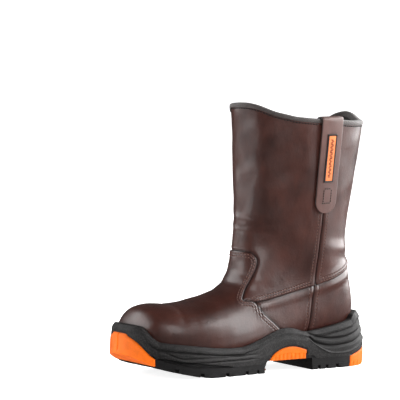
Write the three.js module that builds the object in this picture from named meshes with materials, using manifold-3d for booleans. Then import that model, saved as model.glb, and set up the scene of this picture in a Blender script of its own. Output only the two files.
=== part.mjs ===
// A left rigger boot with a steel toe: a pull-on leather shaft over a rubber sole unit.
// Millimetres. +Z is up, the toe points to -Y, the outer (lateral) side is +X.
// The origin lies under the middle of the boot, on the ground.

import * as THREE from 'three';
import { mergeVertices } from 'three/addons/utils/BufferGeometryUtils.js';
import Module from 'manifold-3d';

const wasm = await Module();
wasm.setup();

// ---------------------------------------------------------------- driving dimensions

const GAP = 0.4;             // clearance between neighbouring layers
const SEAM = 0.5;            // width of the joint line between two leather panels
const LEATHER = 2.2;         // thickness of the leather
const STIFFENING = 1.8;      // toe cap, interlining and heel stiffener all fill one layer
const LINING = 1.4;          // textile lining

const RINGS = 22;            // sections along the upper, toe to top
const SPOKES = 20;           // points around one section

// Depths of the layers, measured inwards from the outside of the leather.
const STIFF_IN = LEATHER + GAP;
const STIFF_OUT = STIFF_IN + STIFFENING;
const LINING_IN = STIFF_OUT + GAP;
const LINING_OUT = LINING_IN + LINING;
const SHAFT_LINING_OUT = STIFF_IN + LINING;
const ANKLE_Z = 121;         // the toe and heel linings end here and the shaft lining begins
const WALL_FOOT_HEIGHT = 12; // height of the upright foot of the inner walls

// The upper is swept like a fan: upright sections at the toe turn to level ones at the shaft.
// Each station: bottom or back point (ya, za), top or front point (yb, zb), half width on the
// lateral and medial side, middle line x, height share of the widest line, squareness of the
// lower and of the upper half.
const STATIONS = [
  [-137, 41, -137, 41, 0, 0, -6, 0.45, 2.6, 2.2],
  [-134, 30, -135, 55, 24, 24, -6, 0.45, 3.0, 2.2],
  [-124, 26, -125, 74, 40, 37, -5, 0.38, 4.0, 2.3],
  [-104, 24, -104, 77, 49, 44, -3, 0.34, 4.5, 2.4],
  [-78, 22, -79, 74, 53, 45, -1, 0.32, 4.5, 2.4],
  [-50, 21, -54, 80, 53, 44, 0, 0.3, 4.5, 2.2],
  [-22, 22, -30, 86, 49, 40, 1, 0.3, 4.2, 2.1],
  [5, 25, -15, 97, 43, 37, 2, 0.3, 3.8, 2.1],
  [36, 29, -9, 113, 39, 36, 2, 0.32, 3.5, 2.1],
  [72, 32, -7, 129, 38, 36, 1, 0.36, 3.2, 2.1],
  [114, 33, -5, 145, 36, 35, 1, 0.4, 2.9, 2.1],
  [134, 44, -4, 160, 37, 36, 0, 0.44, 2.6, 2.1],
  [136, 74, -3, 176, 39, 38, 0, 0.47, 2.4, 2.1],
  [128, 102, -2.5, 192, 41, 40, 0, 0.49, 2.3, 2.1],
  [125, 126, -2.5, 209, 43, 42, 0, 0.5, 2.2, 2.1],
  [128, 152, -3, 228, 45, 44, 0, 0.5, 2.2, 2.1],
  [135, 190, -3, 250, 47, 46, 0, 0.5, 2.2, 2.1],
  [143, 235, -4, 272, 49, 48, 0, 0.5, 2.2, 2.1],
  [150, 280, -6, 300, 51, 50, 0, 0.5, 2.2, 2.1],
];

// Plan outline of the sole unit, lateral side last: control points of a closed B-spline.
const SOLE_OUTLINE = [
  [-10, -150], [-36, -141], [-51, -112], [-52, -75], [-46, -40], [-41, 0], [-41, 45],
  [-42, 90], [-39, 124], [-21, 147], [0, 150], [21, 147], [40, 124], [44, 90], [46, 45],
  [50, 0], [58, -40], [62, -75], [57, -112], [40, -139], [14, -150],
];
const OUTLINE_POINTS = 56;

// Profiles seen from the side, as (y, z) points.
const RIM = [[-200, 287], [-6, 287], [4, 284], [22, 274.5], [45, 268], [71, 265], [103, 263],
  [117, 262], [130, 262.5], [138, 264.5], [144, 269], [150, 274.5], [210, 275]];
const RIM_LEAN = 0.085;      // rise of the rim per unit towards the lateral side
const FLOOR = [[-160, 58], [-138, 38], [-131, 30.5], [-124, 27], [-104, 25], [-78, 23],
  [-50, 22], [-22, 23], [5, 26], [36, 30], [70, 33], [110, 35], [160, 36]];
const WALL_TOP = [[-160, 57], [-145, 56], [-141, 54], [-137, 50], [-132, 44.5], [-125, 39.5],
  [-114, 37.5], [-105, 36.5], [-84, 34], [-55, 30.5], [-24, 29.5], [-3, 34.5], [14, 41],
  [33, 46], [47, 44.5], [60, 41], [78, 42.5], [107, 47], [123, 50], [132, 56], [160, 58]];
const TREAD_TOP = [[-160, 38], [-142, 31], [-122, 21], [-102, 15.5], [-78, 12], [-45, 10],
  [0, 10], [8, 16], [66, 16], [72, 12], [160, 12]];
const GROUND = [[-160, 31], [-142, 22], [-122, 11.5], [-102, 6], [-80, 1.8], [-66, 0], [4, 0]];
const ARCH_Z = 13;           // underside of the waist between forefoot and heel
const ARCH_Y = [8, 66];      // where the waist begins and where the heel block begins
const HEEL_END = [[66, 0], [136, 0], [144, 1.2], [160, 4]];

const FOREFOOT_GROOVES = [-102, -73, -44, -15];
const HEEL_GROOVES = [81, 98, 115];
const GROOVE_DEPTH = 5;
const FOREFOOT_GROOVE_WIDTH = 5;
const HEEL_GROOVE_WIDTH = 4;

// Seams, as (y, z) lines seen from the side.
const TONGUE_SEAM = [[-60, 128.5], [-3, 128.5], [4, 126], [7.5, 119], [4, 109], [-12, 86],
  [-15, 78.5], [-3, 75.5], [6.3, 64], [23, 50], [31, 41], [40, 18]];
const DIAGONAL_SEAM = [[-4, 75.6], [14, 78], [30, 81], [62, 88], [80, 92], [101, 98], [121, 108],
  [140, 124]];
const SIDE_SEAM = [[88, 300], [86.5, 269], [80.5, 168], [75.3, 112], [66.5, 43.6], [62, 10]];

const INSERT_DEPTH = 5;      // how far the orange pieces reach into the sole wall
const TOE_INSERT = [[-170, 50], [-150, 48], [-147, 45], [-142.5, 40], [-137, 32.5],
  [-132, 26], [-127.5, 22], [-127.5, 0], [-170, 0]];
const HEEL_INSERT = [[117, -2], [117, 12], [128, 14], [148, 19.5], [170, 20], [170, -2]];
const ARCH_INSERT = [[9, 4], [10, 14], [19, 21.5], [30, 25], [45, 25.5], [60, 22.5], [59, 4]];

const BINDING_DROP = 5;      // how far the binding reaches down the shaft
const BINDING_THICKNESS = 0.9;

const LOOP_WIDTH = 27;
const LOOP_THICKNESS = 2.2;
const LOOP_CLEARANCE = 0.8;  // between the outer leg and the binding
const LOOP_INNER_CLEARANCE = 1.6;
const LOOP_LOW = 169;        // bottom of the outer leg
const LOOP_INNER_LOW = 228;  // bottom of the inner leg
const LOOP_TOP = 278;        // top of the lateral loop over the edge of the shaft
const MEDIAL_LOOP_DROP = 8;  // how much lower the medial loop's top is
const LOOP_AXIS = [[168, 80.5], [269, 86.5]];   // (z, y) points on the loop's middle line
const ROUND_FOOT = [[-1, 0.7], [-0.7, 0.2], [0, 0], [0.7, 0.2], [1, 0.7]];
const SQUARE_FOOT = [[-1, 0], [1, 0]];
const LABEL_WIDTH = 12;
const LABEL_LOW = 202;
const LABEL_HIGH = 254;
const LABEL_FRAME = 2;       // width of the frame round the label plate
const FRAME_THICKNESS = 1;
const PLATE_THICKNESS = 0.7;

const FAR = 400;             // well outside the boot in every direction

// ---------------------------------------------------------------- solids

function solidFrom(geometry) {
  const bare = geometry.index ? geometry.toNonIndexed() : geometry.clone();
  bare.deleteAttribute('normal');
  bare.deleteAttribute('uv');
  const merged = mergeVertices(bare, 1e-5);
  return new wasm.Manifold(new wasm.Mesh({
    numProp: 3,
    vertProperties: new Float32Array(merged.attributes.position.array),
    triVerts: new Uint32Array(merged.index.array),
  }));
}

function geometryFrom(solid) {
  const mesh = solid.getMesh();
  const geometry = new THREE.BufferGeometry();
  geometry.setAttribute('position', new THREE.BufferAttribute(mesh.vertProperties, 3));
  geometry.setIndex(new THREE.BufferAttribute(mesh.triVerts, 1));
  geometry.computeVertexNormals();
  return geometry;
}

// A closed skin over rings with equal numbers of points, fanned shut at both ends.
function loft(rings, startPoint, endPoint) {
  const count = rings[0].length;
  const points = [startPoint, endPoint, ...rings.flat()];
  const at = (ring, k) => 2 + ring * count + (k % count);
  const last = rings.length - 1;
  const faces = [];
  for (let k = 0; k < count; k += 1) {
    faces.push(0, at(0, k), at(0, k + 1));
    faces.push(1, at(last, k + 1), at(last, k));
    for (let ring = 0; ring < last; ring += 1) {
      faces.push(at(ring, k), at(ring + 1, k + 1), at(ring, k + 1));
      faces.push(at(ring, k), at(ring + 1, k), at(ring + 1, k + 1));
    }
  }
  const geometry = new THREE.BufferGeometry().setFromPoints(points);
  geometry.setIndex(faces);
  return geometry;
}

// A side-view outline extruded across the boot from x = low to x = high.
function sidePrism(outline, low = -FAR, high = FAR) {
  const shape = new THREE.Shape(outline.map(([y, z]) => new THREE.Vector2(y, z)));
  const geometry = new THREE.ExtrudeGeometry(shape, { depth: high - low, bevelEnabled: false });
  const yzx = new THREE.Matrix4().makeBasis(
    new THREE.Vector3(0, 1, 0), new THREE.Vector3(0, 0, 1), new THREE.Vector3(1, 0, 0));
  return solidFrom(geometry.applyMatrix4(yzx).translate(low, 0, 0));
}

const lifted = (line, dz) => line.map(([y, z]) => [y, z + dz]);
const below = (line) => sidePrism([[line[0][0], -FAR], [line.at(-1)[0], -FAR], ...line.toReversed()]);
const above = (line) => sidePrism([...line, [line.at(-1)[0], FAR], [line[0][0], FAR]]);

// A side-view line moved to its left; a closed clockwise outline grows.
function movedLeft(line, distance, closed = false) {
  const last = line.length - 1;
  return line.map(([y, z], i) => {
    const [y0, z0] = line[i > 0 ? i - 1 : (closed ? last : 0)];
    const [y1, z1] = line[i < last ? i + 1 : (closed ? 0 : last)];
    const along = new THREE.Vector2(y1 - y0, z1 - z0).normalize().multiplyScalar(distance);
    return [y - along.y, z + along.x];
  });
}

// A thin blade that follows a side-view line and cuts a seam through the boot.
const seamBlade = (line) => sidePrism(
  [...movedLeft(line, SEAM / 2), ...movedLeft(line, -SEAM / 2).toReversed()]);

// ---------------------------------------------------------------- the shape of the upper

// Weights of a uniform cubic B-spline.
function splineWeights(u) {
  const v = 1 - u;
  return [v ** 3 / 6, (3 * u ** 3 - 6 * u * u + 4) / 6,
    (-3 * u ** 3 + 3 * u * u + 3 * u + 1) / 6, u ** 3 / 6];
}

function stationAt(t) {
  const [tip, next] = STATIONS;
  const before = next.slice();
  before[1] = 2 * tip[1] - next[1];
  before[3] = 2 * tip[3] - next[3];
  before[4] = -next[4];
  before[5] = -next[5];
  const after = STATIONS.at(-1).map((value, i) => 2 * value - STATIONS.at(-2)[i]);
  const rows = [before, ...STATIONS, after];
  const place = t * (STATIONS.length - 1);
  const first = Math.min(Math.floor(place), STATIONS.length - 2);
  const weights = splineWeights(place - first);
  return tip.map((_, i) => weights.reduce((sum, w, k) => sum + w * rows[first + k][i], 0));
}

const signedPower = (value, exponent) => Math.sign(value) * Math.abs(value) ** exponent;

// The outer surface: t runs from the toe to the top, phi round the section from the sole.
function upperPoint(t, phi) {
  const [ya, za, yb, zb, lateral, medial, middle, share, low, high] = stationAt(t);
  const across = Math.cos(phi);
  const up = Math.sin(phi);
  const power = 2 / (up < 0 ? low : high);
  const x = middle + (across > 0 ? lateral : medial) * signedPower(across, power);
  const rise = share + (up < 0 ? share : 1 - share) * signedPower(up, power);
  return new THREE.Vector3(x, ya + (yb - ya) * rise, za + (zb - za) * rise);
}

function upperNormal(t, phi) {
  const step = 1e-3;
  const t0 = Math.max(t - step, 0);
  const t1 = Math.min(t + step, 1);
  const alongT = upperPoint(t1, phi).sub(upperPoint(t0, phi));
  const alongPhi = upperPoint(t, phi + step).sub(upperPoint(t, phi - step));
  return alongT.cross(alongPhi).normalize();
}

// The solid inside the upper's surface moved inwards by `depth` (outwards if negative).
function envelope(depth) {
  const rings = [];
  for (let ring = 1; ring <= RINGS; ring += 1) {
    const t = ring / RINGS;
    const points = [];
    for (let spoke = 0; spoke < SPOKES; spoke += 1) {
      const phi = (2 * Math.PI * (spoke + 0.5)) / SPOKES;
      points.push(upperPoint(t, phi).addScaledVector(upperNormal(t, phi), -depth));
    }
    rings.push(points);
  }
  const tip = upperPoint(0, 0).add(new THREE.Vector3(0, depth, 0));
  const crown = new THREE.Vector3();
  rings.at(-1).forEach((point) => crown.addScaledVector(point, 1 / SPOKES));
  return solidFrom(loft(rings, tip, crown));
}

const shell = (outer, inner) => envelope(outer).subtract(envelope(inner));

const aboveFloor = (rise) => above(lifted(FLOOR, rise));
const belowFloor = (rise) => below(lifted(FLOOR, rise));

// A shell without its floor: the foot of its wall is upright inside.
function walls(outer, inner) {
  const foot = envelope(inner).translate([0, 0, -WALL_FOOT_HEIGHT]);
  return shell(outer, inner).subtract(foot.intersect(belowFloor(WALL_FOOT_HEIGHT)));
}

// ---------------------------------------------------------------- the shape of the sole

function soleOutline(inset) {
  const count = SOLE_OUTLINE.length;
  const at = (place) => {
    const first = Math.floor(place);
    const weights = splineWeights(place - first);
    const point = new THREE.Vector2();
    weights.forEach((w, k) => {
      const [x, y] = SOLE_OUTLINE[(first + k) % count];
      point.add(new THREE.Vector2(x, y).multiplyScalar(w));
    });
    return point;
  };
  return Array.from({ length: OUTLINE_POINTS }, (_, i) => {
    const place = (i * count) / OUTLINE_POINTS;
    const along = at(place + 0.01).sub(at(place)).normalize();
    return at(place).add(new THREE.Vector2(along.y, -along.x).multiplyScalar(inset));
  });
}

function heightOn(line, y) {
  const next = Math.max(1, line.findIndex(([ly]) => ly >= y));
  const [y0, z0] = line[next - 1];
  const [y1, z1] = line[next];
  return z0 + ((z1 - z0) * (y - y0)) / (y1 - y0);
}

// The sole's side wall: nearly upright, with a rounded shoulder under its top edge.
const WALL_SHAPE = [[0, 1.5], [0.2, 0.4], [0.55, 0], [0.78, 0.8], [0.92, 2.4], [1, 4.6]];
const WALL_FOOT = -4;

function soleBlank(inset) {
  const rings = WALL_SHAPE.map(([share, tuck]) => soleOutline(inset + tuck).map((point) => {
    const top = heightOn(WALL_TOP, point.y);
    return new THREE.Vector3(point.x, point.y, WALL_FOOT + (top - WALL_FOOT) * share);
  }));
  const bottom = new THREE.Vector3(0, 0, WALL_FOOT);
  const top = new THREE.Vector3(0, 0, heightOn(WALL_TOP, 0));
  return solidFrom(loft(rings, bottom, top));
}

// ---------------------------------------------------------------- leather

// The rim leans, so that its medial side is lower than its lateral side.
const LEAN = [1, 0, RIM_LEAN, 0, 0, 1, 0, 0, 0, 0, 1, 0, 0, 0, 0, 1];
const belowRim = (drop) => below(lifted(RIM, -drop)).transform(LEAN);
const aboveRim = (drop) => above(lifted(RIM, -drop)).transform(LEAN);

const BOARD_TOP = 4.1;       // height of the insole board over the floor line
const WALL_START = BOARD_TOP + GAP;

// Where the panels lie: only some reach the toe, the heel half or the top of the shaft.
const reachesToe = ({ min }) => min[1] < -100;
const reachesTop = ({ max }) => max[2] > 250;
const inHeelHalf = ({ min }) => min[1] > 50;

function leatherPanels() {
  let leather = shell(0, LEATHER).intersect(belowRim(0)).intersect(aboveFloor(WALL_START));
  [TONGUE_SEAM, DIAGONAL_SEAM, SIDE_SEAM].forEach((seam) => {
    leather = leather.subtract(seamBlade(seam));
  });
  const tests = {
    vamp: reachesToe,
    shaft_front: (box3) => reachesTop(box3) && !inHeelHalf(box3),
    shaft_back: (box3) => reachesTop(box3) && inHeelHalf(box3),
    quarter_lateral: (box3) => !inHeelHalf(box3) && box3.min[0] > 0,
    quarter_medial: (box3) => !inHeelHalf(box3) && box3.max[0] < 0,
    counter: (box3) => inHeelHalf(box3) && !reachesTop(box3),
  };
  const panels = leather.decompose();
  return Object.entries(tests).map(([name, test]) => [
    name, panels.find((panel) => test(panel.boundingBox()))]);
}

function toplineBinding() {
  const outside = -GAP - BINDING_THICKNESS;
  const inside = SHAFT_LINING_OUT + GAP;
  const band = shell(outside, inside + BINDING_THICKNESS)
    .intersect(belowRim(-GAP - BINDING_THICKNESS))
    .intersect(aboveRim(BINDING_DROP));
  const slot = shell(-GAP, inside).intersect(belowRim(-GAP));
  return band.subtract(slot);
}

// ---------------------------------------------------------------- linings and stiffening

const CAP_REAR = -88;        // rear edge of the steel toe cap
const STRIP_REAR = -80;      // rear edge of the strip that covers the cap's edge
const STIFFENER_FRONT = 66;
const STIFFENER_TOP = 100;
const STIFFENER_CORNER = [6, 12];    // chamfer of its top front corner
const FOOTBED = [WALL_START, 9.5];   // underside and top over the floor line
const LINING_START = FOOTBED[1] + GAP;
const FLANGE = 3;            // width of the cap's turned-in foot

const box = (y0, y1, z0, z1) => sidePrism([[y0, z0], [y1, z0], [y1, z1], [y0, z1]]);

function shaftLining() {
  return shell(STIFF_IN, SHAFT_LINING_OUT)
    .intersect(belowRim(0))
    .intersect(box(-FAR, FAR, ANKLE_Z + GAP, FAR));
}

function lowerLining(yFrom, yTo) {
  return shell(LINING_IN, LINING_OUT)
    .intersect(box(yFrom, yTo, 0, ANKLE_Z))
    .intersect(aboveFloor(LINING_START));
}

function steelToeCap() {
  const front = box(-FAR, CAP_REAR, 0, FAR);
  const dome = walls(STIFF_IN, STIFF_OUT).intersect(aboveFloor(WALL_START));
  const foot = floorSheet(STIFF_IN, [WALL_START, WALL_START + STIFFENING])
    .subtract(envelope(STIFF_OUT + FLANGE).translate([0, 0, -LINING_START]));
  return dome.add(foot).intersect(front);
}

function stiffeningBetween(outline) {
  return walls(STIFF_IN, STIFF_OUT).intersect(sidePrism(outline)).intersect(aboveFloor(WALL_START));
}

const capEdgeStrip = () => stiffeningBetween(
  [[CAP_REAR + GAP, 0], [STRIP_REAR, 0], [STRIP_REAR, FAR], [CAP_REAR + GAP, FAR]]);

const heelStiffener = () => stiffeningBetween(
  [[STIFFENER_FRONT, 0], [FAR, 0], [FAR, STIFFENER_TOP],
    [STIFFENER_FRONT + STIFFENER_CORNER[0], STIFFENER_TOP],
    [STIFFENER_FRONT, STIFFENER_TOP - STIFFENER_CORNER[1]]]);

const interlining = () => stiffeningBetween(
  [[STRIP_REAR + GAP, 0], [STIFFENER_FRONT - GAP, 0], [STIFFENER_FRONT - GAP, STIFFENER_TOP + GAP],
    [FAR, STIFFENER_TOP + GAP], [FAR, ANKLE_Z], [STRIP_REAR + GAP, ANKLE_Z]]);

// ---------------------------------------------------------------- inside the sole

const PLATE = [0.7, 1.7];    // heights over the floor line
const BOARD = [2.1, BOARD_TOP];
const FOOTBED_ROOM = 4.5;    // between the footbed's edge and the lining
const FOOTBED_DROP = LINING_OUT + 2;   // how far its outline is lowered to upright walls

// A sheet between two heights over the floor line, inside the upper's walls. The outline is
// that of the upper's inside, lowered by `drop` so that its upright walls bound the sheet.
function floorSheet(depth, [low, high], drop = 0) {
  return envelope(depth).translate([0, 0, -drop])
    .intersect(aboveFloor(low))
    .intersect(belowFloor(high));
}

const steelPlate = () => floorSheet(GAP, PLATE);
const insoleBoard = () => floorSheet(GAP, BOARD);
const footbed = () => floorSheet(LINING_OUT + FOOTBED_ROOM, FOOTBED, FOOTBED_DROP);

// ---------------------------------------------------------------- sole unit

const INSERTS = {
  toe_insert: [TOE_INSERT, -FAR, FAR],
  heel_insert: [HEEL_INSERT, -FAR, FAR],
  arch_insert: [ARCH_INSERT, 0, FAR],
};

function soleInsert([outline, xLow, xHigh], grow) {
  const skin = soleBlank(-3 * grow).subtract(soleBlank(INSERT_DEPTH + grow));
  return skin.intersect(sidePrism(movedLeft(outline, grow, true), xLow, xHigh));
}

function withoutInserts(solid) {
  return Object.values(INSERTS).reduce(
    (rest, insert) => rest.subtract(soleInsert(insert, GAP)), solid);
}

const UNDERSIDE = [...GROUND, [ARCH_Y[0], ARCH_Z], [ARCH_Y[1], ARCH_Z], ...HEEL_END];

function midsole() {
  const cup = soleBlank(0).intersect(above(lifted(TREAD_TOP, GAP)));
  return withoutInserts(cup.subtract(envelope(-GAP)));
}

function treadGroove(y, width) {
  const floor = y < 0 ? heightOn(GROUND, y) : 0;
  return box(y - width / 2, y + width / 2, floor - GROOVE_DEPTH, floor + GROOVE_DEPTH);
}

function outsole() {
  let tread = soleBlank(0).intersect(below(TREAD_TOP)).intersect(above(UNDERSIDE));
  FOREFOOT_GROOVES.forEach((y) => {
    tread = tread.subtract(treadGroove(y, FOREFOOT_GROOVE_WIDTH));
  });
  HEEL_GROOVES.forEach((y) => {
    tread = tread.subtract(treadGroove(y, HEEL_GROOVE_WIDTH));
  });
  return withoutInserts(tread);
}

function trimmedInsert(name) {
  const block = soleInsert(INSERTS[name], 0).intersect(above(UNDERSIDE));
  return block.subtract(envelope(-GAP));
}

// ---------------------------------------------------------------- pull loops and label

// Side-view strip along the side seam, square at the top and round at the bottom.
function seamStrip(width, low, high, rounded) {
  const [[z0, y0], [z1, y1]] = LOOP_AXIS;
  const axis = (z) => y0 + ((z - z0) * (y1 - y0)) / (z1 - z0);
  const half = width / 2;
  const foot = (rounded ? ROUND_FOOT : SQUARE_FOOT)
    .map(([dy, dz]) => [axis(low) + half * dy, low + half * dz]);
  return [...foot, [axis(high) + half, high], [axis(high) - half, high]];
}

// Depths of the loop's faces: the outer leg lies outside the leather, the inner leg inside.
const LOOP_BACK = -GAP - BINDING_THICKNESS - LOOP_CLEARANCE;
const LOOP_FRONT = LOOP_BACK - LOOP_THICKNESS;
const LOOP_INNER = SHAFT_LINING_OUT + GAP + BINDING_THICKNESS + LOOP_INNER_CLEARANCE;

function pullLoop(side) {
  const [xLow, xHigh] = side > 0 ? [0, FAR] : [-FAR, 0];
  const top = side > 0 ? LOOP_TOP : LOOP_TOP - MEDIAL_LOOP_DROP;
  const strip = (low, rounded) => sidePrism(
    seamStrip(LOOP_WIDTH, low, top, rounded), xLow, xHigh);
  const outerLeg = shell(LOOP_FRONT, LOOP_BACK).intersect(strip(LOOP_LOW, true));
  const innerLeg = shell(LOOP_INNER, LOOP_INNER + LOOP_THICKNESS)
    .intersect(strip(LOOP_INNER_LOW, false));
  const crown = shell(LOOP_FRONT, LOOP_INNER + LOOP_THICKNESS)
    .intersect(strip(top - LOOP_THICKNESS, false));
  return outerLeg.add(innerLeg).add(crown);
}

const LABEL_BASE = LOOP_FRONT - GAP;

function labelPart(thickness, width, inset) {
  const outline = seamStrip(width, LABEL_LOW + inset, LABEL_HIGH - inset, false);
  return shell(LABEL_BASE - thickness, LABEL_BASE).intersect(sidePrism(outline, 0, FAR));
}

function labelFrame() {
  const hole = sidePrism(
    seamStrip(LABEL_WIDTH - 2 * LABEL_FRAME, LABEL_LOW + LABEL_FRAME, LABEL_HIGH - LABEL_FRAME, false),
    0, FAR);
  return labelPart(FRAME_THICKNESS, LABEL_WIDTH, 0).subtract(hole);
}

const labelPlate = () => labelPart(
  PLATE_THICKNESS, LABEL_WIDTH - 2 * LABEL_FRAME - 2 * GAP, LABEL_FRAME + GAP);

// ---------------------------------------------------------------- assembly

const finish = (color, roughness, metalness = 0) => new THREE.MeshStandardMaterial(
  { color, roughness, metalness });

const FINISHES = {
  leather: finish(0x4a2820, 0.38),
  lining: finish(0x2b2724, 0.95),
  binding: finish(0x35302d, 0.85),
  webbing: finish(0x5a3d33, 0.6),
  steel: finish(0x9a9da0, 0.35, 1),
  board: finish(0x8c7a5c, 0.9),
  felt: finish(0x6f6a62, 0.95),
  footbed: finish(0x232326, 0.92),
  midsole: finish(0x2c2a2a, 0.75),
  tread: finish(0x222122, 0.8),
  accent: finish(0xf07a1e, 0.55),
  label: finish(0xe87a35, 0.6),
};

const boot = new THREE.Group();

function addPart(name, solid, material) {
  const mesh = new THREE.Mesh(geometryFrom(solid), material);
  mesh.name = name;
  boot.add(mesh);
}

leatherPanels().forEach(([name, solid]) => addPart(name, solid, FINISHES.leather));
addPart('topline_binding', toplineBinding(), FINISHES.binding);
addPart('shaft_lining', shaftLining(), FINISHES.lining);
addPart('vamp_lining', lowerLining(-FAR, STIFFENER_FRONT - GAP), FINISHES.lining);
addPart('heel_lining', lowerLining(STIFFENER_FRONT, FAR), FINISHES.lining);
addPart('steel_toe_cap', steelToeCap(), FINISHES.steel);
addPart('toe_cap_edge_strip', capEdgeStrip(), FINISHES.midsole);
addPart('interlining', interlining(), FINISHES.felt);
addPart('heel_stiffener', heelStiffener(), FINISHES.board);
addPart('steel_midsole_plate', steelPlate(), FINISHES.steel);
addPart('insole_board', insoleBoard(), FINISHES.board);
addPart('footbed', footbed(), FINISHES.footbed);
addPart('midsole', midsole(), FINISHES.midsole);
addPart('outsole', outsole(), FINISHES.tread);
Object.keys(INSERTS).forEach((name) => addPart(name, trimmedInsert(name), FINISHES.accent));
addPart('pull_loop_lateral', pullLoop(1), FINISHES.webbing);
addPart('pull_loop_medial', pullLoop(-1), FINISHES.webbing);
addPart('label_frame', labelFrame(), FINISHES.binding);
addPart('label_plate', labelPlate(), FINISHES.label);

const bounds = new THREE.Box3().setFromObject(boot);
const middle = bounds.getCenter(new THREE.Vector3());
boot.children.forEach((mesh) => mesh.position.set(-middle.x, -middle.y, -bounds.min.z));

export default boot;
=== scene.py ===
# Looks of a left steel toe rigger boot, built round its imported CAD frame.
# Shapes are worked out in millimetres in the design's own axes and written to meshes in metres.
import math

import bpy
import numpy as np
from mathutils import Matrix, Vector


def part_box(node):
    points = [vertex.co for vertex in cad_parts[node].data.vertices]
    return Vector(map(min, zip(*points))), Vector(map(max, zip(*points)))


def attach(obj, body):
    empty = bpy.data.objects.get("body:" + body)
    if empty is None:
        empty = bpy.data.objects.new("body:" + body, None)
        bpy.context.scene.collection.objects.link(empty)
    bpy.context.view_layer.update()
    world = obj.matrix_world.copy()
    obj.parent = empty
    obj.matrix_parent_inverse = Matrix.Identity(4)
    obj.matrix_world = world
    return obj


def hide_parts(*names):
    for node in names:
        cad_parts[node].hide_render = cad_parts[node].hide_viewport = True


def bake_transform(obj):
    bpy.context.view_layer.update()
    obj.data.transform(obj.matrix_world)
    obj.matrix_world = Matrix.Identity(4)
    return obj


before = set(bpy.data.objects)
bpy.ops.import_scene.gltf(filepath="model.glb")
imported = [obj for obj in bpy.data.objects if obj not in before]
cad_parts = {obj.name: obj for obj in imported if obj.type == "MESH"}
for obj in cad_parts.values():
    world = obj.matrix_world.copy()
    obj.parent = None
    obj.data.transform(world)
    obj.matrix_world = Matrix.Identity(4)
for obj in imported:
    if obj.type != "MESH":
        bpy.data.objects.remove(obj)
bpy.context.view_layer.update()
MM = 0.001

# ------------------------------------------------------------------ shape of the boot, in mm

# Stations of the upper, toe to top: bottom or back point (y, z), top or front point (y, z),
# half width lateral and medial, middle x, height share of the widest line, squareness of the
# lower and upper half. The design uses the same ones.
STATIONS = np.array([
    [-137, 41, -137, 41, 0, 0, -6, 0.45, 2.6, 2.2],
    [-134, 30, -135, 55, 24, 24, -6, 0.45, 3.0, 2.2],
    [-124, 26, -125, 74, 40, 37, -5, 0.38, 4.0, 2.3],
    [-104, 24, -104, 77, 49, 44, -3, 0.34, 4.5, 2.4],
    [-78, 22, -79, 74, 53, 45, -1, 0.32, 4.5, 2.4],
    [-50, 21, -54, 80, 53, 44, 0, 0.3, 4.5, 2.2],
    [-22, 22, -30, 86, 49, 40, 1, 0.3, 4.2, 2.1],
    [5, 25, -15, 97, 43, 37, 2, 0.3, 3.8, 2.1],
    [36, 29, -9, 113, 39, 36, 2, 0.32, 3.5, 2.1],
    [72, 32, -7, 129, 38, 36, 1, 0.36, 3.2, 2.1],
    [114, 33, -5, 145, 36, 35, 1, 0.4, 2.9, 2.1],
    [134, 44, -4, 160, 37, 36, 0, 0.44, 2.6, 2.1],
    [136, 74, -3, 176, 39, 38, 0, 0.47, 2.4, 2.1],
    [128, 102, -2.5, 192, 41, 40, 0, 0.49, 2.3, 2.1],
    [125, 126, -2.5, 209, 43, 42, 0, 0.5, 2.2, 2.1],
    [128, 152, -3, 228, 45, 44, 0, 0.5, 2.2, 2.1],
    [135, 190, -3, 250, 47, 46, 0, 0.5, 2.2, 2.1],
    [143, 235, -4, 272, 49, 48, 0, 0.5, 2.2, 2.1],
    [150, 280, -6, 300, 51, 50, 0, 0.5, 2.2, 2.1],
])
SOLE_OUTLINE = np.array([
    [-10, -150], [-36, -141], [-51, -112], [-52, -75], [-46, -40], [-41, 0], [-41, 45],
    [-42, 90], [-39, 124], [-21, 147], [0, 150], [21, 147], [40, 124], [44, 90], [46, 45],
    [50, 0], [58, -40], [62, -75], [57, -112], [40, -139], [14, -150],
], float)

# Side-view profiles, as (y, z) points.
RIM = [[-200, 287], [-6, 287], [4, 284], [22, 274.5], [45, 268], [71, 265], [103, 263],
       [117, 262], [210, 262.5]]
RIM_LEAN = 0.085             # rise of the rim per mm towards the lateral side
BACK_PEAK = 11.5             # height of the small peak at the back of the rim
PEAK_PLACE = -19             # how far to the medial side it stands
PEAK_WIDTH = 21
FLOOR = [[-160, 58], [-138, 38], [-131, 30.5], [-124, 27], [-104, 25], [-78, 23], [-50, 22],
         [-22, 23], [5, 26], [36, 30], [70, 33], [110, 35], [160, 36]]
WALL_TOP = [[-160, 57], [-145, 56], [-141, 54], [-137, 50], [-132, 44.5], [-125, 39.5],
            [-114, 37.5], [-105, 36.5], [-84, 34], [-55, 30.5], [-24, 29.5], [-3, 34.5],
            [14, 41], [33, 46], [47, 44.5], [60, 41], [78, 42.5], [107, 47], [123, 50],
            [132, 56], [160, 58]]
GROUND = [[-160, 31], [-142, 22], [-122, 11.5], [-102, 6], [-80, 1.8], [-66, 0], [4, 0],
          [8, 13], [66, 13], [66.01, 0], [136, 0], [144, 1.2], [160, 4]]
TREAD_TOP = [[-160, 38], [-142, 31], [-122, 21], [-102, 15.5], [-78, 12], [-45, 10],
             [0, 10], [8, 16], [66, 16], [72, 12], [160, 12]]
TONGUE_SEAM = [[-60, 128.5], [-10, 128.5], [-3, 128.2], [4, 126], [7.5, 119], [4, 109],
               [-4, 97], [-12, 86], [-15, 78.5], [-3, 75.5], [6.3, 64], [23, 50], [31, 41],
               [40, 18]]
DIAGONAL_SEAM = [[-60, 66], [-4, 75.6], [14, 78], [30, 81], [62, 88], [80, 92], [101, 98],
                 [121, 108], [140, 124], [160, 142]]
SIDE_SEAM = [[88, 300], [86.5, 269], [80.5, 168], [75.3, 112], [66.5, 43.6], [62, 10]]
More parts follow.
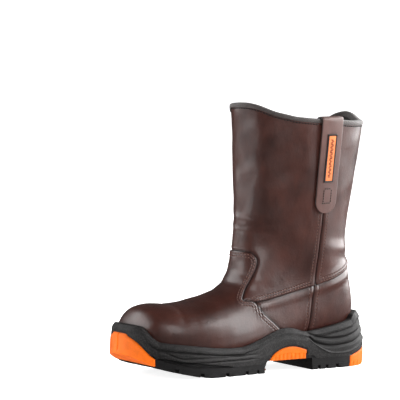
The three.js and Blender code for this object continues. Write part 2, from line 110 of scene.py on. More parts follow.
TOE_INSERT = [[-170, 50], [-150, 48], [-147, 45], [-142.5, 40], [-137, 32.5], [-132, 26],
              [-127.5, 22], [-127.5, -9], [-170, -9]]
HEEL_INSERT = [[117, -9], [117, 12], [128, 14], [148, 19.5], [170, 20], [170, -9]]
ARCH_INSERT = [[7, 4], [8, 11], [18, 21], [31, 26], [44, 26.3], [58, 22.4], [58, 4]]

LEATHER = 1.8
LAP = 7.0                    # how far one leather panel runs on under the next
SIDE_SLIT = 0.15             # half of what is left open between panels at the side seams
LEATHER_FOOT = 4.5           # where the leather ends, over the floor line
LINING_FOOT = 5.0            # where the linings end, over the leather's foot
LINING_DEPTH = 2.6           # of the shaft's lining, under the face of the leather
LOW_LINING_DEPTH = 4.8       # the same below the ankle, over the felt
LINING_THICKNESS = 1.3
LINING_JOINT = 65.6          # y where the heel's lining meets the vamp's
ANKLE_Z = 121
FOOTBED_TOP = 7.6            # middle of the footbed, over the floor line
FOOTBED_UNDER = 5.1

# The design's origin in the frame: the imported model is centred, the design's axes are not.
# The vamp's lowest corner in the design's axes shows how far the frame was moved.
VAMP_CORNER = (-46.1, -136.1)
vamp_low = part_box("vamp")[0]
SHIFT = np.array([vamp_low.x / MM - VAMP_CORNER[0], vamp_low.y / MM - VAMP_CORNER[1], 0.0])


def spline_weights(u):
    v = 1 - u
    return [v ** 3 / 6, (3 * u ** 3 - 6 * u * u + 4) / 6,
            (-3 * u ** 3 + 3 * u * u + 3 * u + 1) / 6, u ** 3 / 6]


def stations_at(t):
    before = STATIONS[1].copy()
    before[[1, 3]] = 2 * STATIONS[0][[1, 3]] - STATIONS[1][[1, 3]]
    before[[4, 5]] = -STATIONS[1][[4, 5]]
    after = 2 * STATIONS[-1] - STATIONS[-2]
    rows = np.vstack([before, STATIONS, after])
    place = np.clip(t, 0, 1) * (len(STATIONS) - 1)
    first = np.minimum(place.astype(int), len(STATIONS) - 2)
    weights = spline_weights((place - first)[..., None])
    return sum(w * rows[first + k] for k, w in enumerate(weights))


def signed_power(value, exponent):
    return np.sign(value) * np.abs(value) ** exponent


def upper_point(t, phi):
    """The outside of the leather: t runs from toe to top, phi round the section from the sole."""
    t, phi = np.broadcast_arrays(np.asarray(t, float), np.asarray(phi, float))
    values = stations_at(t)
    ya, za, yb, zb, lateral, medial, middle, share, low, high = np.moveaxis(values, -1, 0)
    across, up = np.cos(phi), np.sin(phi)
    power = 2 / np.where(up < 0, low, high)
    x = middle + np.where(across > 0, lateral, medial) * signed_power(across, power)
    rise = share + np.where(up < 0, share, 1 - share) * signed_power(up, power)
    return np.stack([x, ya + (yb - ya) * rise, za + (zb - za) * rise], -1)


def unit(v):
    return v / np.maximum(np.linalg.norm(v, axis=-1, keepdims=True), 1e-9)


def upper_normal(t, phi):
    step = 2e-3
    along_t = upper_point(np.minimum(t + step, 1), phi) - upper_point(np.maximum(t - step, 0), phi)
    along_phi = upper_point(t, phi + step) - upper_point(t, phi - step)
    return unit(np.cross(along_t, along_phi))


def height_on(line, y):
    line = np.asarray(line, float)
    return np.interp(y, line[:, 0], line[:, 1])


def rim_height(points):
    x, y = points[:, 0], points[:, 1]
    near = [height_on(RIM, y + step) for step in range(-5, 6)]
    peak = BACK_PEAK * bell(x, PEAK_PLACE, PEAK_WIDTH) * smooth(115, 138, y)
    return np.mean(near, axis=0) + RIM_LEAN * x + peak


def smooth(low, high, value):
    s = np.clip((value - low) / (high - low), 0, 1)
    return s * s * (3 - 2 * s)


def bell(value, centre, width):
    """One at the centre, fading to nothing a couple of widths away."""
    return np.exp(-((value - centre) / width) ** 2)


def rounded(line, steps=6):
    """A Catmull-Rom curve through side-view points."""
    p = np.asarray(line, float)
    p = np.vstack([2 * p[0] - p[1], p, 2 * p[-1] - p[-2]])
    u = np.linspace(0, 1, steps, endpoint=False)[:, None]
    parts = []
    for a, b, c, d in zip(p, p[1:], p[2:], p[3:]):
        parts.append(0.5 * (2 * b + (c - a) * u + (2 * a - 5 * b + 4 * c - d) * u ** 2
                            + (3 * b - a - 3 * c + d) * u ** 3))
    return np.vstack(parts + [p[-2:-1]])


def distance_to(line, yz, closed=False):
    """Signed distance to a side-view line: positive on its right, or inside a clockwise outline."""
    a = np.asarray(line, float)
    b = np.vstack([a[1:], a[:1]]) if closed else a[1:]
    a = a[:len(b)]
    best = np.full(len(yz), 1e9)
    sign = np.ones(len(yz))
    for p, q in zip(a, b):
        d = q - p
        share = np.clip(((yz - p) @ d) / (d @ d), 0, 1)
        away = yz - (p + share[:, None] * d)
        length = np.hypot(away[:, 0], away[:, 1])
        side = d[1] * (yz[:, 0] - p[0]) - d[0] * (yz[:, 1] - p[1])
        closer = length < best - 1e-9
        best = np.where(closer, length, best)
        sign = np.where(closer, np.where(side >= 0, 1, -1), sign)
    return best * sign


def swell(points, size, seed, waves=10):
    """Smooth seeded unevenness between about -1 and 1, with bumps about `size` mm apart."""
    rng = np.random.default_rng(seed)
    directions = unit(rng.normal(size=(waves, 3)))
    lengths = size * rng.uniform(0.7, 1.5, waves)
    phases = rng.uniform(0, 2 * math.pi, waves)
    return np.sin((points @ directions.T) * (2 * math.pi / lengths) + phases).mean(-1) * 1.8


# ------------------------------------------------------------------ meshes

def mesh_object(name, points, faces, material, body, slot, replaces=(), smooth_angle=38):
    """A piece from points in design millimetres. It rides on its body; slot is not used."""
    mesh = bpy.data.meshes.new(name)
    places = (np.asarray(points, float) + SHIFT) * MM
    mesh.from_pydata(places.tolist(), [], [list(map(int, face)) for face in faces])
    mesh.validate()
    mesh.polygons.foreach_set("use_smooth", [True] * len(mesh.polygons))
    mesh.set_sharp_from_angle(angle=math.radians(smooth_angle))
    mesh.materials.append(material)
    obj = bpy.data.objects.new(name, mesh)
    bpy.context.scene.collection.objects.link(obj)
    if body:
        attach(obj, body)
    if replaces:
        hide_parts(*replaces)
    return obj


def point_attribute(obj, name, values):
    layer = obj.data.attributes.new(name, "FLOAT", "POINT")
    layer.data.foreach_set("value", np.clip(values, 0, 1).astype(np.float32))


def grid_faces(rows, columns, wrap_rows=False, wrap_columns=False):
    i = np.arange(rows if wrap_rows else rows - 1)
    j = np.arange(columns if wrap_columns else columns - 1)
    i, j = np.meshgrid(i, j, indexing="ij")
    i2, j2 = (i + 1) % rows, (j + 1) % columns
    corners = [i * columns + j, i * columns + j2, i2 * columns + j2, i2 * columns + j]
    return np.stack(corners, -1).reshape(-1, 4)


def merged(points, faces, tolerance=1e-4):
    """Points that coincide become one; collapsed faces and walls back to back are dropped."""
    keys = np.round(np.asarray(points) / tolerance).astype(np.int64)
    _, first, inverse = np.unique(keys, axis=0, return_index=True, return_inverse=True)
    inverse = inverse.reshape(-1)
    kept = []
    for face in faces:
        ring = []
        for v in inverse[list(face)]:
            if not ring or ring[-1] != v:
                ring.append(v)
        if len(ring) > 1 and ring[0] == ring[-1]:
            ring.pop()
        if len(ring) > 2:
            kept.append(ring)
    times = {}
    for ring in kept:
        corners = frozenset(ring)
        times[corners] = times.get(corners, 0) + 1
    kept = [ring for ring in kept if times[frozenset(ring)] == 1]
    return np.asarray(points)[first], kept, first


def cut(params, faces, field, level, keep_below):
    """Splits faces where field passes level, and drops what lies below unless it is kept."""
    params = [tuple(p) for p in params]
    field = list(field)
    crossings = {}

    def crossing(a, b):
        key = (min(a, b), max(a, b))
        if key not in crossings:
            share = (level - field[a]) / (field[b] - field[a])
            crossings[key] = len(params)
            params.append(tuple(p + share * (q - p) for p, q in zip(params[a], params[b])))
            field.append(level)
        return crossings[key]

    result = []
    for face in faces:
        above = [field[v] >= level for v in face]
        if all(above) or (keep_below and not any(above)):
            result.append(face)
            continue
        if not any(above):
            continue
        upper, lower = [], []
        for k, v in enumerate(face):
            w = face[(k + 1) % len(face)]
            (upper if above[k] else lower).append(v)
            if above[k] != above[(k + 1) % len(face)] and field[v] != level:
                if field[w] != level:
                    c = crossing(v, w)
                    upper.append(c)
                    lower.append(c)
                elif not above[k]:
                    lower.append(w)
            elif above[k] != above[(k + 1) % len(face)]:
                lower.append(v)
        if len(upper) > 2:
            result.append(upper)
        if keep_below and len(lower) > 2:
            result.append(lower)
    return np.array(params), result, np.array(field)


def trimmed(params, faces, field, levels):
    """Cuts grid faces along each level of field; what lies under the last level goes."""
    faces = np.asarray(faces)
    over = field[faces]
    core = (over >= levels[0]).all(1)
    band = faces[(over >= levels[-1]).any(1) & ~core].tolist()
    for level in levels:
        params, band, field = cut(params, band, field, level, keep_below=level != levels[-1])
    faces = faces[core].tolist() + band
    used = sorted({v for face in faces for v in face})
    index = {v: k for k, v in enumerate(used)}
    return params[used], [[index[v] for v in face] for face in faces], field[used]


def thick_skin(outer, inner, faces):
    """A closed solid between two sheets that share their faces."""
    used = sorted({v for face in faces for v in face})
    index = {v: k for k, v in enumerate(used)}
    faces = [[index[v] for v in face] for face in faces]
    count = len(used)
    edges = {}
    for face in faces:
        for a, b in zip(face, face[1:] + face[:1]):
            edges[(a, b)] = edges.get((a, b), 0) + 1
    walls = [[b, a, a + count, b + count] for a, b in edges if (b, a) not in edges]
    back = [[v + count for v in reversed(face)] for face in faces]
    return np.vstack([outer[used], inner[used]]), faces + back + walls, used


def joined(pieces):
    """Several pieces, each of points and faces, as one."""
    points, faces = [], []
    for more_points, more_faces in pieces:
        faces += [[v + len(points) for v in face] for face in more_faces]
        points += list(more_points)
    return points, faces


def eased(low, high, count):
    """Places from low to high that stand closer together towards both ends."""
    return low + (high - low) * (0.5 - 0.5 * np.cos(np.linspace(0, math.pi, count)))


def plate(x, y, top, bottom):
    """A closed plate over a grid with one y for each row."""
    sheets = [np.stack(np.broadcast_arrays(x, y[:, None], z), -1).reshape(-1, 3)
              for z in (top, bottom)]
    points, faces, _ = thick_skin(*sheets, grid_faces(*x.shape)[:, ::-1].tolist())
    return points, faces


def run_along(points):
    """Length along a line of points, at each of them."""
    steps = np.linalg.norm(np.diff(points, axis=0), axis=1)
    return np.concatenate([[0], np.cumsum(steps)])


# ------------------------------------------------------------------ materials

def grey(value):
    return (value, value, value)


def times(color, factor):
    return tuple(min(1, c * factor) for c in color)


class Look:
    """A principled material being built, its textures laid out in the piece's own axes."""

    def __init__(self, name):
        self.made = bpy.data.materials.new(name)
        self.made.use_nodes = True
        self.tree = self.made.node_tree
        self.coords = self.node("ShaderNodeTexCoord").outputs["Object"]

    def node(self, kind, **settings):
        made = self.tree.nodes.new(kind)
        for key, value in settings.items():
            if key in made.inputs:
                self.feed(made.inputs[key], value)
            else:
                setattr(made, key, value)
        return made

    def feed(self, socket, value):
        """Joins the socket to another node's output, or gives it a fixed value."""
        if isinstance(value, bpy.types.NodeSocket):
            self.tree.links.new(value, socket)
        else:
            socket.default_value = value

    def noise(self, scale, detail=3, roughness=0.5, stretch=(1, 1, 1)):
        mapping = self.node("ShaderNodeMapping", Scale=stretch, Vector=self.coords)
        return self.node("ShaderNodeTexNoise", Scale=scale, Detail=detail, Roughness=roughness,
                         Vector=mapping.outputs["Vector"]).outputs["Fac"]

    def cells(self, feature, scale):
        return self.node("ShaderNodeTexVoronoi", feature=feature, Scale=scale,
                         Vector=self.coords).outputs["Distance"]

    def attribute(self, name):
        return self.node("ShaderNodeAttribute", attribute_name=name).outputs["Fac"]

    def ramp(self, factor, *stops):
        """From one colour to another, each with the factor at which it is reached."""
        made = self.node("ShaderNodeValToRGB", Fac=factor)
        for element, (place, color) in zip(made.color_ramp.elements, stops):
            element.position = place
            element.color = (*color, 1)
        return made.outputs["Color"]

    def mix(self, factor, a, b, blend="MIX"):
        made = self.node("ShaderNodeMix", data_type="RGBA", blend_type=blend)
        sockets = {s.identifier: s for s in made.inputs}
        for key, value in (("Factor_Float", factor), ("A_Color", a), ("B_Color", b)):
            self.feed(sockets[key], (*value, 1) if isinstance(value, tuple) else value)
        return next(s for s in made.outputs if s.identifier == "Result_Color")

    def bump(self, height, strength, distance, below=None):
        made = self.node("ShaderNodeBump", Strength=strength, Distance=distance, Height=height)
        if below is not None:
            self.feed(made.inputs["Normal"], below)
        return made.outputs["Normal"]

    def finished(self, inputs):
        for key, value in inputs.items():
            self.feed(self.tree.nodes["Principled BSDF"].inputs[key], value)
        return self.made


def leather(name, dark, light, gloss):
    """Oiled corrected-grain leather: cloudy dye, fine pores, creases, edges lightened as rubbed wear
    and painted highlight, and painted shade along seams and laps.
    """
    look = Look(name)
    dye = look.ramp(look.noise(26, 4, 0.55), (0.3, dark), (0.72, light))
    streaks = look.noise(170, 3, 0.6, (1, 1, 0.45))
    dye = look.mix(0.22, dye, look.ramp(streaks, (0.35, dark), (0.7, light)))
    # Lighter near the edges: rubbed wear together with a painted highlight.
    dye = look.mix(look.attribute("edge"), dye, tuple(c * 1.9 + 0.012 for c in light))
    # Painted shade at cut edges, stitch dents and laps; on the straps a dark-dyed cut edge with
    # painted shade.
    dye = look.mix(look.attribute("dark_edge_and_painted_shade"), dye, times(dark, 0.3))
    worn = look.ramp(look.noise(60, 3, 0.6), (0.3, grey(gloss)), (0.75, grey(gloss + 0.12)))
    pores = look.ramp(look.cells("DISTANCE_TO_EDGE", 950), (0.0, grey(0)), (0.25, grey(1)))
    grain = look.bump(pores, 0.16, 0.00025)
    grain = look.bump(look.noise(420, 4, 0.6), 0.22, 0.0006, grain)
    grain = look.bump(look.noise(95, 3, 0.5, (1, 1, 0.6)), 0.18, 0.0015, grain)
    return look.finished({"Base Color": dye, "Roughness": worn, "Specular IOR Level": 0.55,
                          "Coat Weight": 0.26, "Coat Roughness": 0.17, "Normal": grain})


def rubber(name, color, roughness, pebble_size, pebble_strength, speckle=0.2, shine=0.4):
    """Moulded rubber: a skin of pebbles of the given size in mm, a cloudy bloom, and painted shade
    in the grooves a piece marks.
    """
    look = Look(name)
    shade = look.ramp(look.noise(45, 4, 0.6), (0.3, times(color, 0.8)), (0.75, times(color, 1.2)))
    cells = look.cells("F1", 1 / (pebble_size * MM))
    specks = look.ramp(cells, (0.15, grey(1)), (0.6, grey(0.25)))
    shade = look.mix(speckle, shade, specks, "MULTIPLY")
    # Painted shade: darker where the piece's attribute marks grooves and recesses.
    shade = look.mix(look.attribute("dark_edge_and_painted_shade"), shade, times(color, 0.25))
    wear = look.ramp(look.noise(120, 3, 0.6),
                     (0.3, grey(roughness - 0.06)), (0.7, grey(roughness + 0.08)))
    pebbles = look.bump(cells, -pebble_strength, 0.0006)
    skin = look.bump(look.noise(1500, 3, 0.6), 0.25, 0.0003, pebbles)
    return look.finished({"Base Color": shade, "Roughness": wear, "Specular IOR Level": shine,
                          "Normal": skin})


def cloth(name, color, thread, roughness=0.9):
    """Plain woven textile with crossing threads of the given spacing in mm."""
    look = Look(name)
    waves = [look.node("ShaderNodeTexWave", wave_type="BANDS", bands_direction=direction,
                       Scale=0.16 / (thread * MM), Distortion=0.6, Detail=2,
                       Vector=look.coords).outputs["Fac"] for direction in ("Z", "DIAGONAL")]
    weave = look.mix(0.5, *waves)
    tuft = look.noise(500, 3, 0.6)
    shade = look.mix(0.35, look.ramp(weave, (0.2, times(color, 0.6)), (0.8, color)),
                     look.ramp(tuft, (0.3, times(color, 0.5)), (0.8, times(color, 1.7))))
    woven = look.bump(weave, 0.45, 0.0005)
    return look.finished({"Base Color": shade, "Roughness": roughness, "Sheen Weight": 0.25,
                          "Normal": look.bump(tuft, 0.3, 0.0005, woven)})


def thread_material(name, color):
    """Twisted sewing thread."""
    look = Look(name)
    twist = look.noise(2600, 2, 0.5)
    return look.finished({
        "Base Color": look.ramp(twist, (0.3, times(color, 0.6)), (0.7, color)),
        "Roughness": 0.65, "Normal": look.bump(twist, 0.5, 0.0002)})


def brushed_metal(name):
    look = Look(name)
    brush = look.noise(90, 3, 0.6, (1, 14, 1))
    return look.finished({
        "Base Color": look.ramp(brush, (0.3, grey(0.42)), (0.7, grey(0.6))),
        "Roughness": look.ramp(brush, (0.3, grey(0.28)), (0.7, grey(0.42))), "Metallic": 1})


def pressed_board(name, color):
    look = Look(name)
    fibres = look.noise(240, 5, 0.7, (1, 3, 1))
    return look.finished({
        "Base Color": look.ramp(fibres, (0.3, times(color, 0.6)), (0.7, color)),
        "Roughness": 0.9, "Normal": look.bump(fibres, 0.4, 0.0005)})


def floor_paper(name):
    look = Look(name)
    return look.finished({
        "Base Color": look.ramp(look.noise(3, 2, 0.4), (0.3, grey(0.86)), (0.7, grey(0.88))),
        "Roughness": 0.9, "Specular IOR Level": 0.1, "Emission Color": (1, 1, 1, 1),
        "Emission Strength": 0.85})


LEATHER_SKIN = leather("leather_brown", (0.024, 0.0062, 0.0040), (0.062, 0.0175, 0.0115), 0.3)
LOOP_SKIN = leather("loop_brown", (0.060, 0.024, 0.019), (0.12, 0.054, 0.044), 0.36)
MIDSOLE_SKIN = rubber("midsole_rubber", (0.024, 0.0212, 0.0210), 0.62, 1.5, 0.9, 1.0, 0.3)
TREAD_SKIN = rubber("tread_rubber", (0.009, 0.0080, 0.0082), 0.66, 1.4, 0.3, 0.5, 0.25)
ORANGE_SKIN = rubber("orange_rubber", (0.72, 0.125, 0.002), 0.5, 1.3, 0.12, 0.1, 0.15)
LINING_CLOTH = cloth("lining_cloth", (0.018, 0.016, 0.0145), 0.9)
BINDING_CLOTH = cloth("binding_cloth", (0.042, 0.031, 0.028), 0.7, 0.55)
FOOTBED_CLOTH = cloth("footbed_cloth", (0.03, 0.03, 0.033), 1.2)
FELT = cloth("felt", (0.16, 0.15, 0.14), 1.6)
DARK_THREAD = thread_material("dark_thread", (0.008, 0.006, 0.006))
TAN_THREAD = thread_material("tan_thread", (0.15, 0.070, 0.055))
STEEL = brushed_metal("brushed_steel")
BOARD = pressed_board("pressed_board", (0.3, 0.22, 0.13))
LABEL_BLACK = rubber("label_black", (0.02, 0.02, 0.02), 0.4, 0.5, 0.1)
LABEL_ORANGE = rubber("label_orange", (0.78, 0.2, 0.05), 0.5, 0.4, 0.1)
LABEL_MARK = rubber("label_mark", (0.13, 0.016, 0.006), 0.5, 0.4, 0.1)
PAPER = floor_paper("floor_paper")


# ------------------------------------------------------------------ the leather upper

RINGS = 230
SPOKES = 220


def base_grid(rings=RINGS, spokes=SPOKES):
    """Parameters (t, phi) over the whole upper; the joint in phi runs along the sole and back."""
    t = np.linspace(0.012, 1.0, rings)
    phi = np.linspace(-math.pi / 2, 1.5 * math.pi, spokes + 1)
    t, phi = np.meshgrid(t, phi, indexing="ij")
    return np.stack([t.ravel(), phi.ravel()], -1), grid_faces(rings, spokes + 1)


TONGUE = rounded(TONGUE_SEAM)
DIAGONAL = rounded(DIAGONAL_SEAM)
SIDE = rounded(SIDE_SEAM)


def surface_distance(line, points, normals, flip):
    """Distance to a side-view seam, measured along the leather instead of in side view."""
    yz = points[:, 1:]
    raw = distance_to(line, yz) * flip
    step = 0.5
    dy = distance_to(line, yz + [step, 0]) * flip - raw
    dz = distance_to(line, yz + [0, step]) * flip - raw
    slope = normals[:, 1] * dy / step + normals[:, 2] * dz / step
    return raw / np.sqrt(np.clip(1 - slope ** 2, 0.12, 1))


def seams_at(params):
    t, phi = params[:, 0], params[:, 1]
    points = upper_point(t, phi)
    normals = upper_normal(t, phi)
    return {
        "points": points,
        "normals": normals,
        "in_vamp": surface_distance(TONGUE, points, normals, VAMP_SIDE),
        "over": surface_distance(DIAGONAL, points, normals, SHAFT_SIDE),
        "behind": surface_distance(SIDE, points, normals, BACK_SIDE),
        "rim": rim_height(points) - points[:, 2],
        "floor": points[:, 2] - height_on(FLOOR, points[:, 1]) - LEATHER_FOOT,
        "lateral": points[:, 0] - 1.0,
    }


def side_of(line, inside):
    """Plus or minus one: which sign distance_to gives at a point known to be inside."""
    return float(np.sign(distance_to(line, np.array([inside], float))[0]))


VAMP_SIDE = side_of(TONGUE, (-80, 60))
SHAFT_SIDE = side_of(DIAGONAL, (60, 180))
BACK_SIDE = side_of(SIDE, (120, 120))


def in_front(s):
    return -s["behind"] - SIDE_SLIT


def quarter(s, side):
    """The lower panel in front of the side seam, on one side of the boot."""
    return np.minimum.reduce([LAP - s["over"], in_front(s), LAP - s["in_vamp"],
                              side * s["lateral"]])


# Each panel's field in mm: positive inside the panel, nothing at its edge.
PANELS = {
    "vamp": lambda s: s["in_vamp"],
    "shaft_front": lambda s: np.minimum.reduce(
        [s["over"], in_front(s), LAP - s["in_vamp"] - 2 * LAP * (s["in_vamp"] > LAP)]),
    "shaft_back": lambda s: np.minimum(s["over"], s["behind"] - SIDE_SLIT),
    "quarter_lateral": lambda s: quarter(s, 1),
    "quarter_medial": lambda s: quarter(s, -1),
    "counter": lambda s: np.minimum(LAP - s["over"], s["behind"] - SIDE_SLIT),
}


def leather_relief(points):
    """Soft dents, folds and pulled creases of worn-in leather, in mm outwards."""
    y, z = points[:, 1], points[:, 2]
    shaft = smooth(110, 150, z)
    relief = 0.85 * shaft * swell(points * [1, 1, 0.7], 62, 3)
    relief += 0.3 * swell(points, 24, 5) * (0.4 + 0.6 * shaft)
    folds = bell(z + 0.18 * y, 163, 5) + 0.7 * bell(z + 0.1 * y, 151, 4)
    relief -= 0.7 * folds * smooth(50, 0, y)
    relief += 1.3 * bell(z + 0.1 * y, 140, 7) * smooth(70, 115, y)
    instep = bell(z, 96, 20) * smooth(35, -10, y)
    relief -= 0.5 * instep * (0.5 + 0.5 * np.sin((z + 0.6 * y) / 2.6))
    gather = bell(y, 3, 12) * bell(z, 66, 13)
    relief += 0.42 * gather * np.sin(y * 1.9 + 0.25 * z + 1.5 * swell(points, 18, 8))
    return relief - 0.45 * bell(y - 0.12 * z, -97, 3.5) * smooth(48, 66, z)


def lap_height(seams, name):
    """How far the panel's face stands over or under the plain surface at its seams."""
    def under(distance):
        return -1.25 * smooth(-4, 0.5, distance)

    def rising(distance):
        return 0.75 * (1 - smooth(0, 12, distance))

    low_seam = 0.2 + 0.8 * smooth(64, 80, seams["points"][:, 2])
    if name == "vamp":
        return rising(seams["in_vamp"]) * low_seam
    beside = np.abs(seams["behind"])
    height = -0.55 * bell(beside, 0, 1.3)
    if name.startswith("shaft"):
        at_heel = smooth(95, 125, seams["points"][:, 1])
        height += rising(seams["over"]) * (1.2 + 2.0 * at_heel)
        return height + under(seams["in_vamp"]) + 0.35 * bell(beside, 4, 3)
    height += under(seams["over"]) + bell(seams["over"], -6, 3.8)
    return height + under(seams["in_vamp"]) * low_seam + 0.3 * bell(beside, 4, 3)


def leather_face(seams, name):
    """Where the panel's outer face lies, in mm, for parameters whose seams are given."""
    lift = lap_height(seams, name) + leather_relief(seams["points"])
    return seams["points"] + seams["normals"] * lift[:, None]


def panel_field(seams, name):
    return np.minimum.reduce([PANELS[name](seams), seams["rim"], seams["floor"]])


STITCH_ROWS = (5.2, 2.4)     # distances of the two stitch rows from a panel's edge
ROW_HALF = 0.6               # half width of the dent along a row


def row_here(seams, row):
    """The side seams have only the row farther from the edge; the others have both."""
    return (np.abs(seams["behind"]) > 4) | (row > 4)


def row_dent(own, seams):
    """One along the stitch rows inside a panel's edge, fading to nothing beside them."""
    return sum(bell(own, row, 0.6 * ROW_HALF) * row_here(seams, row) for row in STITCH_ROWS)


def shown(seams, name):
    """Where a panel is not covered by its neighbours."""
    if name == "vamp":
        return np.full(len(seams["rim"]), 9.0)
    if name.startswith("shaft"):
        return -seams["in_vamp"]
    return np.minimum(-seams["in_vamp"], -seams["over"])


def make_panel(name, grid, grid_seams):
    levels = [row + side * ROW_HALF for row in STITCH_ROWS for side in (1, 0, -1)] + [0.6, 0.0]
    params, faces, _ = trimmed(*grid, panel_field(grid_seams, name), levels)
    seams = seams_at(params)
    own = PANELS[name](seams)
    dents = row_dent(own, seams) * (shown(seams, name) > 0.5)
    shape = -0.6 * (1 - smooth(0, 1.3, own)) - 0.3 * dents
    outer = leather_face(seams, name) + seams["normals"] * shape[:, None]
    inner = leather_face(seams, name) - seams["normals"] * LEATHER
    points, closed, used = thick_skin(outer, inner, faces)
    # Lighter just inside the edge: partly rubbed wear, partly a painted highlight along the rolled
    # edge.
    rub_and_painted_highlight = 0.12 * bell(own, 1.2, 0.8)[used]
    # Darker at the cut edge, partly the leather's dark edge and partly painted shade; painted shade
    # also in the stitch-row dents and where the panel runs under its neighbour.
    dark_edge_and_painted_shade = (0.8 * bell(own, 0, 0.6) + 0.3 * dents + bell(shown(seams, name), 0, 1.4))[used]
    points, closed, first = merged(points, closed)
    obj = mesh_object(name + "_leather", points, closed, LEATHER_SKIN, "boot", "leather_brown",
                      [name])
    point_attribute(obj, "edge", np.tile(rub_and_painted_highlight, 2)[first])
    point_attribute(obj, "dark_edge_and_painted_shade", np.tile(dark_edge_and_painted_shade, 2)[first])


# ------------------------------------------------------------------ curves on the upper

def contour(field, level, grid, keep):
    """Chains the places on the grid where a field equals level into (t, phi) polylines."""
    params, faces = grid
    faces = np.asarray(faces)
    above = field[faces] >= level
    ends = {}
    spots = {}
    for face in faces[above.any(1) & ~above.all(1)]:
        hits = []
        for k, a in enumerate(face):
            b = face[(k + 1) % 4]
            if (field[a] >= level) != (field[b] >= level):
                key = (min(a, b), max(a, b))
                share = (level - field[key[0]]) / (field[key[1]] - field[key[0]])
                spots[key] = params[key[0]] + share * (params[key[1]] - params[key[0]])
                hits.append(key)
        if len(hits) == 2:
            ends.setdefault(hits[0], []).append(hits[1])
            ends.setdefault(hits[1], []).append(hits[0])
    lines = []
    left = set(ends)
    starts = sorted(k for k in ends if len(ends[k]) == 1) + sorted(ends)
    for start in starts:
        if start not in left:
            continue
        chain = [start]
        left.discard(start)
        while True:
            following = [k for k in ends[chain[-1]] if k in left]
            if not following:
                break
            chain.append(following[0])
            left.discard(following[0])
        lines.append(np.array([spots[k] for k in chain]))
    kept = []
    for line in lines:
        good = keep(line)
        pieces = np.split(np.arange(len(line)), np.where(np.diff(good.astype(int)) != 0)[0] + 1)
        kept += [line[p] for p in pieces if good[p[0]] and len(p) > 3]
    return kept


# One stitch: places along its length, with the share of its radius there, and the height of
# its middle over the surface in radii.
STITCH_PROFILE = [(-0.5, 0.25, -0.55), (-0.42, 0.85, -0.1), (-0.2, 1.0, 0.25), (0.2, 1.0, 0.25),
                  (0.42, 0.85, -0.1), (0.5, 0.25, -0.55)]
STITCH_SIDES = 6


def sewn(points, normals, length, gap, radius):
    """Stitches along a line of surface points: short rounded threads, end to end."""
    run = run_along(points)
    rings = len(STITCH_PROFILE)
    faces = grid_faces(rings, STITCH_SIDES, wrap_columns=True).tolist()
    ring = list(range(STITCH_SIDES))
    faces += [ring, [(rings - 1) * STITCH_SIDES + s for s in ring[::-1]]]
    stitches = []
    for k in range(int((run[-1] - gap) / (length + gap))):
        middle = gap + (k + 0.5) * (length + gap)
        spots = [middle + share * length for share, _, _ in STITCH_PROFILE]
        centre = np.stack([np.interp(spots, run, points[:, i]) for i in range(3)], -1)
        normal = unit(np.stack([np.interp(spots, run, normals[:, i]) for i in range(3)], -1))
        along = unit(centre[-1] - centre[0])
        verts = []
        for (_, size, lift), c, n in zip(STITCH_PROFILE, centre, normal):
            side = np.cross(along, n)
            for s in ring:
                angle = 2 * math.pi * s / STITCH_SIDES
                out = (math.cos(angle) * side + math.sin(angle) * n) * radius * size
                verts.append(c + n * radius * lift + out)
        stitches.append((verts, faces))
    return stitches


def stitch_object(name, runs, material_used, slot, body="boot", length=2.3, gap=1.1, radius=0.5):
    stitches = [one for line in runs for one in sewn(*line, length, gap, radius)]
    return mesh_object(name, *joined(stitches), material_used, body, slot)


def make_stitching(grid, grid_seams):
    """Rows of thread inside every sewn edge that shows."""
    runs = []
    for name, own in PANELS.items():
        field = own(grid_seams)
        for row in STITCH_ROWS:
            def keep(line):
                s = seams_at(line)
                beside_rim = (s["rim"] > 7) & (s["floor"] > 2)
                under_loop = (np.abs(s["behind"]) < 12) & (s["points"][:, 2] > 170)
                return beside_rim & ~under_loop & row_here(s, row) & (shown(s, name) > 1.2)

            for line in contour(field, row, grid, keep):
                seams = seams_at(line)
                sunk = leather_face(seams, name) - 0.12 * seams["normals"]
                runs.append((sunk, seams["normals"]))
    stitch_object("upper_stitching", runs, TAN_THREAD, "leather_brown")


def rim_parameters(count):
    """For evenly spread phi, the t at which the upper meets the rim line."""
    phi = np.linspace(0, 2 * math.pi, count, endpoint=False)
    low, high = np.full(count, 0.6), np.ones(count)
    for _ in range(40):
        t = (low + high) / 2
        p = upper_point(t, phi)
        above = p[:, 2] > rim_height(p)
        high = np.where(above, t, high)
        low = np.where(above, low, t)
    return (low + high) / 2, phi


# The tape's section, as (height, distance outwards) from the rim of the leather's face.
BINDING_PROFILE = [(-2.9, 0.2), (-3.0, 0.8), (-2.3, 1.05), (-0.9, 1.05), (0.4, 0.95),
                   (1.2, 0.3), (1.5, -1.0), (1.5, -2.6), (1.2, -4.0), (0.4, -4.9),
                   (-1.5, -5.1), (-4.4, -5.1), (-5.1, -4.9), (-5.0, -4.2), (-1.0, -4.15),
                   (0.5, -3.6), (0.8, -2.0), (0.5, -0.2), (-0.8, 0.2)]


